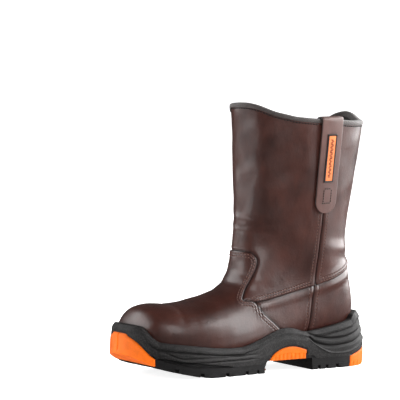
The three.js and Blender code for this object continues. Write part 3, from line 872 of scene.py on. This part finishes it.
def make_binding():
    """Ribbed tape folded over the rim, with its row of dark stitches on the outside."""
    count = 420
    t, phi = rim_parameters(count)
    points = upper_point(t, phi)
    relief = leather_relief(points)
    normals = upper_normal(t, phi)
    up = unit(points - upper_point(t - 0.02, phi))
    puckers = 120
    pucker = 0.1 * np.sin(np.arange(count) * 2 * math.pi * puckers / count)
    rings = []
    for height, out in BINDING_PROFILE:
        bulge = pucker if height < -1 else pucker * 0.3
        rings.append(points + up * height
                     + normals * (out + relief + bulge * np.sign(out + 2))[:, None])
    grid = np.stack(rings, 1).reshape(-1, 3)
    faces = grid_faces(count, len(rings), True, True)[:, ::-1]
    mesh_object("topline_tape", grid, faces, BINDING_CLOTH, "boot", "binding_black",
                ["topline_binding"], 60)
    line = points + up * -4.6 + normals * (0.35 + relief)[:, None]
    closed = np.vstack([line, line[:1]])
    stitch_object("topline_stitching", [(closed, np.vstack([normals, normals[:1]]))],
                  DARK_THREAD, "binding_black", length=2.6, gap=0.8, radius=0.55)


# ------------------------------------------------------------------ linings and footbed

def lining_piece(node_name, depth, test):
    """Cloth in place of one lining, where test is positive, depth mm under the outer face."""
    params, faces = base_grid(RINGS // 2, SPOKES // 2)
    s = seams_at(params)
    field = np.minimum.reduce([test(s), s["rim"] + 0.2, s["floor"] - LINING_FOOT])
    params, faces, _ = trimmed(params, faces, field, [0.0])
    s = seams_at(params)
    ripple = 0.35 * swell(s["points"], 26, 21)
    sheets = [s["points"] - s["normals"] * (depth + under - ripple)[:, None]
              for under in (0.25, LINING_THICKNESS)]
    points, closed, _ = thick_skin(*sheets, faces)
    points, closed, _ = merged(points, closed)
    mesh_object(node_name + "_cloth", points, closed, LINING_CLOTH, "boot", "lining_black",
                [node_name])


def make_linings():
    def under_ankle(s):
        return ANKLE_Z - s["points"][:, 2]

    def behind_joint(s):
        return s["points"][:, 1] - LINING_JOINT

    lining_piece("shaft_lining", LINING_DEPTH, lambda s: 3 - under_ankle(s))
    lining_piece("vamp_lining", LOW_LINING_DEPTH,
                 lambda s: np.minimum(under_ankle(s), 0.4 - behind_joint(s)))
    lining_piece("heel_lining", LOW_LINING_DEPTH,
                 lambda s: np.minimum(under_ankle(s), behind_joint(s)))


def make_footbed():
    """A moulded footbed: raised rim at the heel, low in the middle, rounded at the toe."""
    y = eased(-121, 117, 70)
    ball = 37.0 - 8.5 * smooth(-60, 10, y) - 3.0 * smooth(40, 100, y)
    toe_end = np.sqrt(np.clip(1 - ((-88 - np.minimum(y, -88)) / 33.5) ** 2, 0, 1))
    heel_end = np.sqrt(np.clip(1 - ((np.maximum(y, 88) - 88) / 29.5) ** 2, 0, 1))
    half = ball * np.minimum(toe_end, heel_end) + 0.3
    middle = 1.0 + 1.5 * smooth(10, -70, y) - 5.5 * smooth(-80, -125, y)
    across = eased(-1, 1, 26)
    x = middle[:, None] + half[:, None] * across
    cup = 1.6 * np.abs(across) ** 3 * smooth(20, 90, y)[:, None]
    arch = 1.2 * smooth(0.2, -1, across) * bell(y, 20, 40)[:, None]
    round_edge = 1.4 * (1 - smooth(1, 0.86, np.abs(across)))
    base = height_on(FLOOR, y)[:, None]
    top = base + FOOTBED_TOP + cup + arch - round_edge
    bottom = base + FOOTBED_UNDER + 0.4 * round_edge + 1.5 * smooth(-95, -122, y)[:, None]
    obj = mesh_object("footbed_pad", *plate(x, y, top, bottom), FOOTBED_CLOTH, "footbed",
                      "footbed_black", ["footbed"])


# ------------------------------------------------------------------ the sole unit

def outline_at(share):
    """Plan of the sole and its inward direction: share 0..1 starts at the toe, medial side."""
    count = len(SOLE_OUTLINE)

    def at(place):
        first = np.floor(place).astype(int)
        weights = spline_weights((place - first)[..., None])
        return sum(w * SOLE_OUTLINE[(first + k) % count] for k, w in enumerate(weights))

    place = (np.asarray(share, float) % 1.0) * count
    point = at(place)
    along = unit(at(place + 0.02) - point)
    inward = np.stack([along[..., 1], -along[..., 0]], -1)
    return point, inward


def even_shares(count):
    """Shares spread evenly by length round the outline."""
    share = np.linspace(0, 1, 2001)
    run = run_along(outline_at(share)[0])
    return np.interp(np.linspace(0, run[-1], count, endpoint=False), run, share)


WALL_SHAPE = np.array([[0, 1.5], [0.2, 0.4], [0.55, 0], [0.78, 0.8], [0.92, 2.4], [1, 4.6]])
WALL_FOOT = -4


def wall_inset(y, z):
    """How far the sole's side wall stands in from the plan outline at height z."""
    top = height_on(WALL_TOP, y)
    share = (z - WALL_FOOT) / (top - WALL_FOOT)
    collar = 2.2 * smooth(118, 142, y) * smooth(0.6, 1, share)
    return np.interp(share, WALL_SHAPE[:, 0], WALL_SHAPE[:, 1]) + collar


TOE_OUTLINE = np.vstack([rounded(TOE_INSERT[:7]), TOE_INSERT[7:]])
ARCH_OUTLINE = np.vstack([rounded(ARCH_INSERT[1:6]), [ARCH_INSERT[6], ARCH_INSERT[0]]])
HEEL_OUTLINE = np.array(HEEL_INSERT, float)


def insert_fields(x, y, z):
    yz = np.stack([y, z], -1)
    arch = distance_to(ARCH_OUTLINE, yz, True)
    return {
        "toe_insert": distance_to(TOE_OUTLINE, yz, True),
        "arch_insert": np.where(x > 0, arch, -9.0),
        "heel_insert": distance_to(HEEL_OUTLINE, yz, True),
    }


HEEL_WING = rounded([[57, 40], [65, 31.5], [78, 22.6], [93, 17], [114, 16.8], [129, 20.8],
                     [139, 26], [152, 33]])
HEEL_SCOOPS = [rounded([[56, 43], [65, 37.9], [84, 32.7], [109, 32.3], [133, 37.8], [152, 46]]),
               rounded([[64, 35], [71, 29], [90, 24.2], [117, 25.6], [130, 28.8], [152, 37]])]


def midsole_relief(x, y, z):
    """Moulded lines of the side wall, in mm inwards."""
    depth = np.zeros(len(y))
    for field in insert_fields(x, y, z).values():
        depth += 2.4 * smooth(-0.5, 0.3, field) + 0.6 * bell(field, -1.0, 0.7)
    below_lip = height_on(WALL_TOP, y) - z
    fore = smooth(-130, -122, y) * smooth(-2, -20, y)
    lift = 10 * smooth(-95, -130, y)
    depth += fore * 1.0 * (bell(z, 21.5 + lift, 0.7) + bell(z, 16.6 + lift * 0.8, 0.7))
    depth -= fore * 0.35 * bell(z, 19 + lift, 1.5)
    depth += 1.5 * bell(below_lip, 7.6, 1.0) * smooth(4, -24, y) * smooth(-140, -126, y)
    depth -= 0.6 * bell(below_lip, 3.6, 2.4)
    heel = smooth(58, 64, y)
    wing = height_on(HEEL_WING, y)
    depth += heel * (0.9 * smooth(-0.4, 0.6, z - wing) * smooth(5, 8, below_lip)
                     - 0.7 * bell(z, wing, 0.8))
    for scoop in HEEL_SCOOPS:
        depth += heel * 1.6 * bell(z, height_on(scoop, y), 1.5)
    return depth


def leather_gap(points, inward, z):
    """Distance from the outline inwards to the leather at height z, along each inward ray."""
    params, _ = base_grid()
    skin = upper_point(params[:, 0], params[:, 1])
    gaps = []
    for p, n, height in zip(points, inward, z):
        near = skin[np.abs(skin[:, 2] - height) < 3.0][:, :2] - p
        side = np.abs(near[:, 0] * n[1] - near[:, 1] * n[0])
        ahead = near @ n
        hits = ahead[(side < 2.5) & (ahead > -2) & (ahead < 40)]
        gaps.append(hits.min() if len(hits) else 8.0)
    evened = 4                   # neighbours on each side that a gap is averaged with
    padded = np.concatenate([gaps[-evened:], gaps, gaps[:evened]])
    window = 2 * evened + 1
    return np.convolve(padded, np.ones(window) / window, "valid")


def make_midsole():
    """One ring of rubber: the moulded side wall, its lip, and the hidden face inside."""
    count, levels = ((760, 72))
    plan, inward = outline_at(even_shares(count))
    y = plan[:, 1]
    top = height_on(rounded(WALL_TOP), y)
    bottom = height_on(TREAD_TOP, y) + 0.1
    reach = leather_gap(plan, inward, top - 2.5) + 1.4
    rows = []
    dark_edge_and_painted_shade = []

    def add_row(depth, z):
        rows.append(np.column_stack([plan + inward * depth[:, None], z]))

    for share in np.arange(levels) / (levels - 1):
        z = bottom + (top - bottom) * share
        relief = midsole_relief(plan[:, 0], y, z) * smooth(0, 0.03, share)
        add_row(relief + wall_inset(y, z), z)
        # Painted shade: darker where the moulded lines sink deeper into the wall.
        dark_edge_and_painted_shade.append(smooth(0.35, 1.6, relief))
    lip = wall_inset(y, top)
    for share, drop in ((0.15, -0.45), (0.4, -0.6), (0.7, -0.2), (1.0, 0.6), (1.0, 4.0)):
        add_row(lip + (reach - lip) * share, top - drop)
    add_row(reach + 6, bottom + (top - 4 - bottom) * 0.3)
    add_row(reach + 8, bottom)
    dark_edge_and_painted_shade += [np.zeros(count)] * (len(rows) - levels)
    grid = np.stack(rows, 1).reshape(-1, 3)
    obj = mesh_object("midsole_wall", grid, grid_faces(count, len(rows), True, True),
                      MIDSOLE_SKIN, "boot", "midsole_black", ["midsole"], 60)
    point_attribute(obj, "dark_edge_and_painted_shade", np.stack(dark_edge_and_painted_shade, 1).ravel())


def insert_relief(name, x, y, z):
    """Grooves and ribs of the orange pieces, in mm outwards."""
    if name == "toe_insert":
        slots = sum(bell(x, place, 0.8) for place in (-15, 3))
        return 0.35 - 1.2 * slots * smooth(27, 30, z)
    if name == "arch_insert":
        ribs = 0.5 + 0.5 * np.sin(y * 2 * math.pi / 5.2)
        crest = height_on([[8, 15], [20, 18.5], [34, 20.5], [60, 18.5]], y)
        return 0.8 - smooth(0.3, -0.6, z - crest) * (0.4 + 0.6 * ribs ** 3)
    notches = sum(bell(y, place, 0.8) for place in (122, 129, 136))
    return 0.35 - 0.9 * notches * smooth(6.0, 4.5, z)


INSERT_DEPTH = 4.2           # how deep the orange pieces go into the side wall


def make_insert(name, y_low, y_high, high):
    """A piece of the side wall, cut to its outline and given a rounded edge."""
    dense = 1100
    shares = even_shares(dense)
    plan, _ = outline_at(shares)
    inside = (plan[:, 1] > y_low) & (plan[:, 1] < y_high)
    if name == "arch_insert":
        inside &= plan[:, 0] > 0
    runs = np.where(inside)[0]
    if name == "toe_insert":
        runs = np.concatenate([runs[runs > dense / 2], runs[runs <= dense / 2]])
    order = np.arange(len(runs))
    shares = np.unwrap(shares[runs], period=1.0)
    low = height_on(GROUND, plan[runs, 1]) + 0.05
    levels = 46
    params = np.array([[k, rise] for k in order for rise in np.linspace(0, 1, levels)])
    faces = grid_faces(len(runs), levels)

    def place(p):
        spot, inward = outline_at(np.interp(p[:, 0], order, shares))
        base = np.interp(p[:, 0], order, low)
        return spot, inward, base + (high - base) * p[:, 1]

    spot, _, z = place(params)
    values = insert_fields(spot[:, 0], spot[:, 1], z)[name]
    params, faces, values = trimmed(params, faces, values, [1.2, 0.5, 0.0])
    spot, inward, z = place(params)
    inset = wall_inset(spot[:, 1], z)
    drop = 0.8 * (1 - smooth(0, 1.2, values))
    out = insert_relief(name, spot[:, 0], spot[:, 1], z) - drop - inset
    outer = np.column_stack([spot - inward * out[:, None], z])
    inner = np.column_stack([spot + inward * (inset + INSERT_DEPTH)[:, None], z])
    points, closed, _ = thick_skin(outer, inner, faces)
    if name == "toe_insert":
        tip = slab(-149.3, TOE_INSERT[6][0], 0.5, 4.0, 0.1)
        points, closed = joined([(points, closed), tip])
    mesh_object(name + "_rubber", points, closed, ORANGE_SKIN, "boot", "accent_orange", [name])


def outline_half_widths(y):
    """Medial and lateral x of the sole's plan at each y."""
    share = np.linspace(0, 1, 4001)
    p, _ = outline_at(share)
    heel = int(np.argmax(p[:, 1]))
    toe = int(np.argmin(p[:, 1]))
    medial = p[toe:heel + 1] if toe < heel else np.vstack([p[toe:], p[:heel + 1]])
    lateral = np.vstack([p[heel:], p[:toe + 1]])[::-1]
    return (np.interp(y, medial[:, 1], medial[:, 0]), np.interp(y, lateral[:, 1], lateral[:, 0]))


WAIST = (8, 66)              # where the sole is raised between forefoot and heel
LUG_HEIGHT = 4.2


def slab(y_low, y_high, inset, top_rise, under_rise, extra=()):
    """A plate over the sole's plan. Without a top_rise over the ground it reaches TREAD_TOP."""
    rows, columns = ((240, 32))
    y = np.sort(np.concatenate([eased(y_low, y_high, rows), extra]))
    medial, lateral = outline_half_widths(y)
    half = np.maximum((lateral - medial) / 2 - inset, 0.3)
    x = (medial + lateral)[:, None] / 2 + half[:, None] * eased(-1, 1, columns)
    ground = height_on(GROUND, y)
    top = ground + top_rise if top_rise else height_on(TREAD_TOP, y)
    waist = smooth(WAIST[0] - 2, WAIST[0], y) * smooth(WAIST[1] + 2, WAIST[1], y)
    under = np.minimum(ground + under_rise * (1 - waist), top - 1.5)
    return plate(x, y, top[:, None], under[:, None])


def lug(outline, low_offset, chamfer=0.7):
    """A tread block from a plan outline, narrower at its worn lower edge."""
    outline = np.asarray(outline, float)
    centre = outline.mean(0)
    ground = height_on(GROUND, outline[:, 1]) + low_offset
    pulled = outline + unit(centre - outline) * chamfer
    rings = [np.column_stack([pulled, ground]),
             np.column_stack([outline, ground + chamfer]),
             np.column_stack([outline, ground + LUG_HEIGHT + 0.8])]
    count = len(outline)
    points = np.vstack(rings)
    faces = grid_faces(3, count, wrap_columns=True).tolist()
    faces.append(list(range(count))[::-1])
    faces.append([2 * count + k for k in range(count)])
    area = np.sum(outline[:, 0] * np.roll(outline[:, 1], -1)
                  - np.roll(outline[:, 0], -1) * outline[:, 1])
    if area < 0:
        faces = [face[::-1] for face in faces]
    return points, faces


FORE_ROWS = [(-126.8, -108.5), (-104, -80), (-75.5, -48.5), (-44, -21.5), (-18, -6.5),
             (-3.5, 4)]
HEEL_ROWS = [(66.2, 73.2), (76.4, 83.4), (86.6, 97), (100.4, 115.5), (119, 129), (132, 141)]
LUG_DEPTH = 21
INSERT_ROOM = 5.0            # the heel's last lugs stand inside the orange piece


def edge_lug(y0, y1, side, depth):
    """A block along one edge of the sole between two notches."""
    y = np.linspace(y0, y1, 9)
    medial, lateral = outline_half_widths(y)
    room = INSERT_ROOM if y0 > HEEL_INSERT[0][0] else 0.4
    edge = (lateral if side > 0 else medial) - side * room
    taper = 1.2
    outer = np.column_stack([edge, y])
    inner = np.array([[edge[-1] - side * (depth - 3), y1 - taper],
                      [edge[4] - side * depth, (y0 + y1) / 2],
                      [edge[0] - side * (depth - 3), y0 + taper]])
    return np.vstack([outer, inner])


def bar_lug(x0, x1, y0, y1, slant):
    return np.array([[x0, y0 + slant], [(x0 + x1) / 2, y0], [x1, y0 + slant],
                     [x1, y1 + slant], [(x0 + x1) / 2, y1], [x0, y1 + slant]])


def make_outsole():
    start, end = TOE_INSERT[6][0] + 0.3, HEEL_INSERT[0][0] - 0.3
    steps = [edge + beside for edge in WAIST for beside in (-0.1, 0.1)]
    pieces = [slab(start, end, 0.9, 0, LUG_HEIGHT, steps),
              slab(end, 142, INSERT_ROOM, 0, LUG_HEIGHT)]
    for y0, y1 in FORE_ROWS + HEEL_ROWS:
        medial, lateral = outline_half_widths(np.array([(y0 + y1) / 2.0]))
        width = float(lateral[0] - medial[0])
        depth = min(LUG_DEPTH, width * 0.27)
        for side in (-1, 1):
            pieces.append(lug(edge_lug(y0, y1, side, depth), 0.0))
        inner_low, inner_high = float(medial[0]) + depth + 4, float(lateral[0]) - depth - 4
        if inner_high - inner_low < 10:
            continue
        half = (y1 - y0 - 5) / 2
        middle = (inner_low + inner_high) / 2
        for low, high in ((inner_low, middle - 2), (middle + 2, inner_high)):
            pieces.append(lug(bar_lug(low, high, y0 + 1, y0 + 1 + half, 1.5), 0.25))
            pieces.append(lug(bar_lug(low, high, y1 - half, y1, -1.5), 0.25))
    mesh_object("tread", *joined(pieces), TREAD_SKIN, "boot", "outsole_black", ["outsole"], 30)


# ------------------------------------------------------------------ pull loops and label

LOOP_HALF = 13.5             # half the strap's width
LOOP_EDGE_Z = 268.0          # height at which the lateral loop turns over the shaft's edge
MEDIAL_LOOP_DROP = 8.0
LOOP_TOP_RISE = 5.0
LOOP_THICKNESS = 2.0
LOOP_INSIDE = -8.2           # middle of the inner leg, from the face of the leather
LOOP_LOW = 168.4             # where the outer leg ends, rounded over LOOP_ROUND above it
LOOP_ROUND = 12.6
LOOP_FOOT = [168.6, 169.2, 170.2, 171.6, 173.4, 175.6, 178.2]
HALF_ACROSS = [0.2, 0.4, 0.6, 0.8, 0.92, 0.965, 1]
ACROSS = np.array([-share for share in HALF_ACROSS[::-1]] + [0] + HALF_ACROSS)


def on_side(y, z, side):
    """Surface points with the given side-view places, on one side, and level normals there."""
    params, _ = base_grid(60, 60)
    points = upper_point(params[:, 0], params[:, 1])
    across = np.cos(params[:, 1]) * side
    found = np.zeros((len(y), 2))
    for k, (py, pz) in enumerate(zip(y, z)):
        cost = (points[:, 1] - py) ** 2 + (points[:, 2] - pz) ** 2 + 1e6 * (across < 0.02)
        found[k] = params[np.argmin(cost)]
    target = np.stack([y, z], -1)
    for _ in range(8):
        here = upper_point(found[:, 0], found[:, 1])[:, 1:]
        step = 1e-4
        dt = (upper_point(found[:, 0] + step, found[:, 1])[:, 1:] - here) / step
        dphi = (upper_point(found[:, 0], found[:, 1] + step)[:, 1:] - here) / step
        det = dt[:, 0] * dphi[:, 1] - dt[:, 1] * dphi[:, 0]
        miss = target - here
        move_t = (miss[:, 0] * dphi[:, 1] - miss[:, 1] * dphi[:, 0]) / det
        move_phi = (dt[:, 0] * miss[:, 1] - dt[:, 1] * miss[:, 0]) / det
        found[:, 0] = np.clip(found[:, 0] + np.clip(move_t, -0.02, 0.02), 0, 0.9999)
        found[:, 1] += np.clip(move_phi, -0.1, 0.1)
    normals = upper_normal(found[:, 0], found[:, 1])
    normals[:, 2] = 0
    return upper_point(found[:, 0], found[:, 1]), unit(normals)


def strap_axis_y(z):
    """The strap's middle line follows the side seam, which leans back as it rises."""
    return 80.5 + (z - 168) * 6 / 101


def loop_edge(side):
    return LOOP_EDGE_Z if side > 0 else LOOP_EDGE_Z - MEDIAL_LOOP_DROP


def strap_path(side):
    """Heights and places along the loop: up the outside, over the edge, down the inside."""
    edge = loop_edge(side)
    outer = [("out", z) for z in LOOP_FOOT + np.arange(181.5, edge - 2, 4.5).tolist()]
    crown = [("crown", a) for a in np.linspace(0, math.pi, 15)]
    inner = [("in", z) for z in np.arange(edge - 6, 229, -4.5)]
    return outer + crown + inner


def stand_off(z):
    """Gap between the leather and the back of the strap's outer leg."""
    return 1.3 + 1.0 * smooth(205, 262, z)


def loop_surface(side, lift):
    """Grid of points over the strap's middle surface moved `lift` mm off it, and its normals."""
    rows = []
    for kind, value in strap_path(side):
        width = LOOP_HALF
        if kind == "out":
            rise = min(1.0, (value - LOOP_LOW) / LOOP_ROUND)
            width = LOOP_HALF * math.sqrt(1 - (1 - rise) ** 2)
        z = loop_edge(side) if kind == "crown" else value
        y = strap_axis_y(z) + ACROSS * width
        p, n = on_side(y, np.full(len(y), z), side)
        out_middle = stand_off(z) + LOOP_THICKNESS / 2
        if kind == "out":
            rows.append((p + n * out_middle, n))
        elif kind == "in":
            rows.append((p + n * LOOP_INSIDE, -n))
        else:
            centre = (out_middle + LOOP_INSIDE) / 2
            radius = (out_middle - LOOP_INSIDE) / 2
            high = LOOP_TOP_RISE - LOOP_THICKNESS / 2
            up = np.array([0, 0.06, 1.0])
            flat = signed_power(np.array(math.cos(value)), 0.6)
            tall = signed_power(np.array(math.sin(value)), 0.6)
            place = p + n * (centre + radius * flat) + up * high * tall
            facing = unit(n * math.cos(value) / radius + up * math.sin(value) / high)
            rows.append((place, facing))
    middle = np.stack([r[0] for r in rows])
    normal = np.stack([r[1] for r in rows])
    return middle + normal * lift, normal


def loop_blend(obj):
    """Bakes the piece's placement into its mesh."""
    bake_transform(obj)


def make_loop(side, body):
    top, normal = loop_surface(side, LOOP_THICKNESS / 2)
    bottom, _ = loop_surface(side, -LOOP_THICKNESS / 2)
    rows, columns = top.shape[:2]
    edge_drop = 0.4 * smooth(0.9, 1.0, np.abs(ACROSS))
    top = top - normal * edge_drop[None, :, None]
    bottom = bottom + normal * 0.3 * edge_drop[None, :, None]
    faces = grid_faces(rows, columns).tolist()
    if side > 0:
        faces = [face[::-1] for face in faces]
    points, closed, _ = thick_skin(top.reshape(-1, 3), bottom.reshape(-1, 3), faces)
    obj = mesh_object(body + "_strap", points, closed, LOOP_SKIN, None, "webbing_brown", [body])
    # The strap's side edges darkened: a black-dyed cut edge together with painted shade beside it.
    dyed_edge_and_painted_shade = np.tile(smooth(0.93, 0.99, np.abs(ACROSS)), rows)
    point_attribute(obj, "dark_edge_and_painted_shade", np.tile(dyed_edge_and_painted_shade, 2))
    modifier = obj.modifiers.new("round", "SUBSURF")
    modifier.levels = modifier.render_levels = 2
    apply_modifiers(obj)
    loop_blend(obj)


def apply_modifiers(obj):
    graph = bpy.context.evaluated_depsgraph_get()
    made = bpy.data.meshes.new_from_object(obj.evaluated_get(graph))
    obj.modifiers.clear()
    obj.data = made


def strap_point(side, z, across, lift):
    """A point and normal on the outer leg of a loop, across in mm from its middle line."""
    p, n = on_side(strap_axis_y(z) + across, z, side)
    out = stand_off(z) + LOOP_THICKNESS + lift
    return p + n * out[:, None], n


def make_loop_stitching(side, body):
    left, right, low, high, tail = -4.4, 5.0, 179.5, 195, 2.2
    lines = [((left - tail, low), (right + tail, low)), ((right, low), (right, high)),
             ((right, high), (left, high)), ((left, high), (left, low))]
    runs = []
    for (x0, z0), (x1, z1) in lines:
        share = np.linspace(0, 1, 14)
        z = z0 + (z1 - z0) * share
        runs.append(strap_point(side, z, x0 + (x1 - x0) * share, 0 * z))
    obj = stitch_object(body + "_stitching", runs, DARK_THREAD, "webbing_brown", None,
                        length=2.0, gap=0.8, radius=0.55)
    loop_blend(obj)


def strap_patch(name, z_low, z_high, half, heights, shape, material_used, slot, replaces):
    """A thin closed plate on the outer loop: heights(across, z) is its top over the strap."""
    z, across = np.meshgrid(np.linspace(z_low, z_high, shape[0]),
                            np.linspace(-half, half, shape[1]), indexing="ij")
    z, across = z.ravel(), across.ravel()
    top, _ = strap_point(1, z, across, heights(across, z))
    base, _ = strap_point(1, z, across, np.full(z.size, 0.05))
    points, closed, _ = thick_skin(top, base, grid_faces(*shape)[:, ::-1].tolist())
    obj = mesh_object(name, points, closed, material_used, None, slot, replaces)
    loop_blend(obj)


LABEL_LOW, LABEL_HIGH, LABEL_HALF = 202.0, 254.0, 6.0
FRAME_WIDTH = 1.9


def make_label():
    """A black moulded frame round an orange plate with a plain zigzag, in place of a mark."""
    def frame_height(a, z):
        inset = np.minimum(LABEL_HALF - np.abs(a), np.minimum(z - LABEL_LOW, LABEL_HIGH - z))
        rail = smooth(0, 0.5, inset) * smooth(FRAME_WIDTH + 0.1, FRAME_WIDTH - 0.5, inset)
        return 0.35 + 0.95 * rail

    def plate_height(a, _):
        return np.full(a.shape, 0.85)

    strap_patch("label_surround", LABEL_LOW, LABEL_HIGH, LABEL_HALF, frame_height, (105, 33),
                LABEL_BLACK, "label_black", ["label_frame"])
    inner = LABEL_HALF - FRAME_WIDTH
    strap_patch("label_field", LABEL_LOW + FRAME_WIDTH, LABEL_HIGH - FRAME_WIDTH, inner,
                plate_height, (40, 9), LABEL_ORANGE, "label_orange", ["label_plate"])
    runs = []
    for offset in (-0.7, 0.7):
        z = np.linspace(LABEL_LOW + 5, LABEL_HIGH - 5, 80)
        across = offset + 1.3 * (4 * np.abs((z / 4.4) % 1 - 0.5) - 1)
        runs.append(strap_point(1, z, across, plate_height(across, z)))
    obj = stitch_object("label_zigzag", runs, LABEL_MARK, "label_orange", None,
                        length=2.2, gap=0.3, radius=0.4)
    loop_blend(obj)


# ------------------------------------------------------------------ hidden CAD pieces

def dress_hidden_nodes():
    looks = {
        "steel_toe_cap": STEEL,
        "steel_midsole_plate": STEEL,
        "toe_cap_edge_strip": TREAD_SKIN,
        "interlining": FELT,
        "heel_stiffener": BOARD,
        "insole_board": BOARD,
    }
    for name, look in looks.items():
        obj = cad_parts[name]
        obj.data.materials.clear()
        obj.data.materials.append(look)


# ------------------------------------------------------------------ floor, light and camera

VIEW_AZIMUTH = math.radians(60.5)
VIEW_ELEVATION = math.radians(5.1)
VIEW_DISTANCE = 4.5
VIEW_WIDTH = 400 / 929       # metres across the frame, at the boot
SENSOR = 36.0
LOOK_OFFSET = (-0.0418, 0.0427)      # where the frame's middle lies beside the boot's middle
BOOT_MIDDLE_Z = 0.140


def pointed(name, data, place, target):
    """An object for the data, standing at place and looking at target."""
    obj = bpy.data.objects.new(name, data)
    obj.location = place
    obj.rotation_euler = (target - place).to_track_quat("-Z", "Y").to_euler()
    bpy.context.scene.collection.objects.link(obj)
    return obj


def make_camera():
    target = Vector((SHIFT[0] * MM, SHIFT[1] * MM, BOOT_MIDDLE_Z))
    back = Vector((math.sin(VIEW_AZIMUTH) * math.cos(VIEW_ELEVATION),
                   -math.cos(VIEW_AZIMUTH) * math.cos(VIEW_ELEVATION),
                   math.sin(VIEW_ELEVATION)))
    right = Vector((math.cos(VIEW_AZIMUTH), math.sin(VIEW_AZIMUTH), 0))
    up = right.cross(-back)
    place = target + back * VIEW_DISTANCE
    aim = target + right * LOOK_OFFSET[0] + up * LOOK_OFFSET[1]
    data = bpy.data.cameras.new("camera")
    data.sensor_width = SENSOR
    data.lens = VIEW_DISTANCE * SENSOR / VIEW_WIDTH
    data.clip_end = 100
    bpy.context.scene.camera = pointed("camera", data, place, aim)


def make_floor():
    """A pale sweep: level under the boot, curving up far behind it."""
    level = [(-6, 0), (3.5, 0)]
    rising = [(3.5 + 2 * math.sin(k * math.pi / 24), 2 - 2 * math.cos(k * math.pi / 24))
              for k in range(13)] + [(5.5, 7)]
    for name, profile in (("floor", level), ("backdrop", rising)):
        sweep_piece(name, profile).visible_glossy = False


def sweep_piece(name, profile):
    """A strip of paper, wide across the view, that follows a profile of (distance, height)."""
    direction = Vector((-math.sin(VIEW_AZIMUTH), math.cos(VIEW_AZIMUTH), 0))
    side = Vector((direction.y, -direction.x, 0))
    verts, faces = [], []
    for along, z in profile:
        for across in (-7, 7):
            verts.append(direction * along + side * across + Vector((0, 0, z)))
    for k in range(len(profile) - 1):
        faces.append([2 * k, 2 * k + 1, 2 * k + 3, 2 * k + 2])
    mesh = bpy.data.meshes.new(name)
    mesh.from_pydata([tuple(v) for v in verts], [], faces)
    mesh.polygons.foreach_set("use_smooth", [True] * len(mesh.polygons))
    mesh.materials.append(PAPER)
    piece = bpy.data.objects.new(name, mesh)
    bpy.context.scene.collection.objects.link(piece)
    return piece


def area_light(name, azimuth, elevation, distance, size, power):
    """A soft box aimed at the boot, at an azimuth in degrees from +X (lateral) towards +Y (heel)."""
    a, e = math.radians(azimuth), math.radians(elevation)
    target = Vector((0, 0.01, 0.13))
    place = target + distance * Vector(
        (math.cos(a) * math.cos(e), math.sin(a) * math.cos(e), math.sin(e)))
    data = bpy.data.lights.new(name, "AREA")
    data.shape = "RECTANGLE"
    data.size, data.size_y = size
    data.energy = power
    pointed(name, data, place, target)


def make_lights():
    area_light("back_right_box", 78, 24, 1.6, (2.6, 1.7), 100)
    area_light("front_left_box", -118, 28, 1.6, (2.2, 0.9), 20)
    area_light("front_left_strip", -110, -7, 0.75, (1.3, 0.12), 2.4)
    area_light("camera_side_box", -12, 24, 1.7, (0.7, 0.9), 8)
    world = bpy.data.worlds.new("studio")
    world.use_nodes = True
    background = world.node_tree.nodes["Background"]
    background.inputs["Color"].default_value = (1, 1, 1, 1)
    background.inputs["Strength"].default_value = 0.06
    bpy.context.scene.world = world
    bpy.context.scene.view_settings.view_transform = "Standard"


# ------------------------------------------------------------------ everything together

make_camera()
make_floor()
make_lights()
UPPER_GRID = base_grid()
UPPER_SEAMS = seams_at(UPPER_GRID[0])
for panel_name in PANELS:
    make_panel(panel_name, UPPER_GRID, UPPER_SEAMS)
make_stitching(UPPER_GRID, UPPER_SEAMS)
make_binding()
make_linings()
make_footbed()
make_midsole()
make_insert("toe_insert", -160, -118, 51)
make_insert("arch_insert", 4, 66, 27)
make_insert("heel_insert", 112, 160, 27)
make_outsole()
for loop_side, loop_body in ((1, "pull_loop_lateral"), (-1, "pull_loop_medial")):
    make_loop(loop_side, loop_body)
    make_loop_stitching(loop_side, loop_body)
make_label()
dress_hidden_nodes()
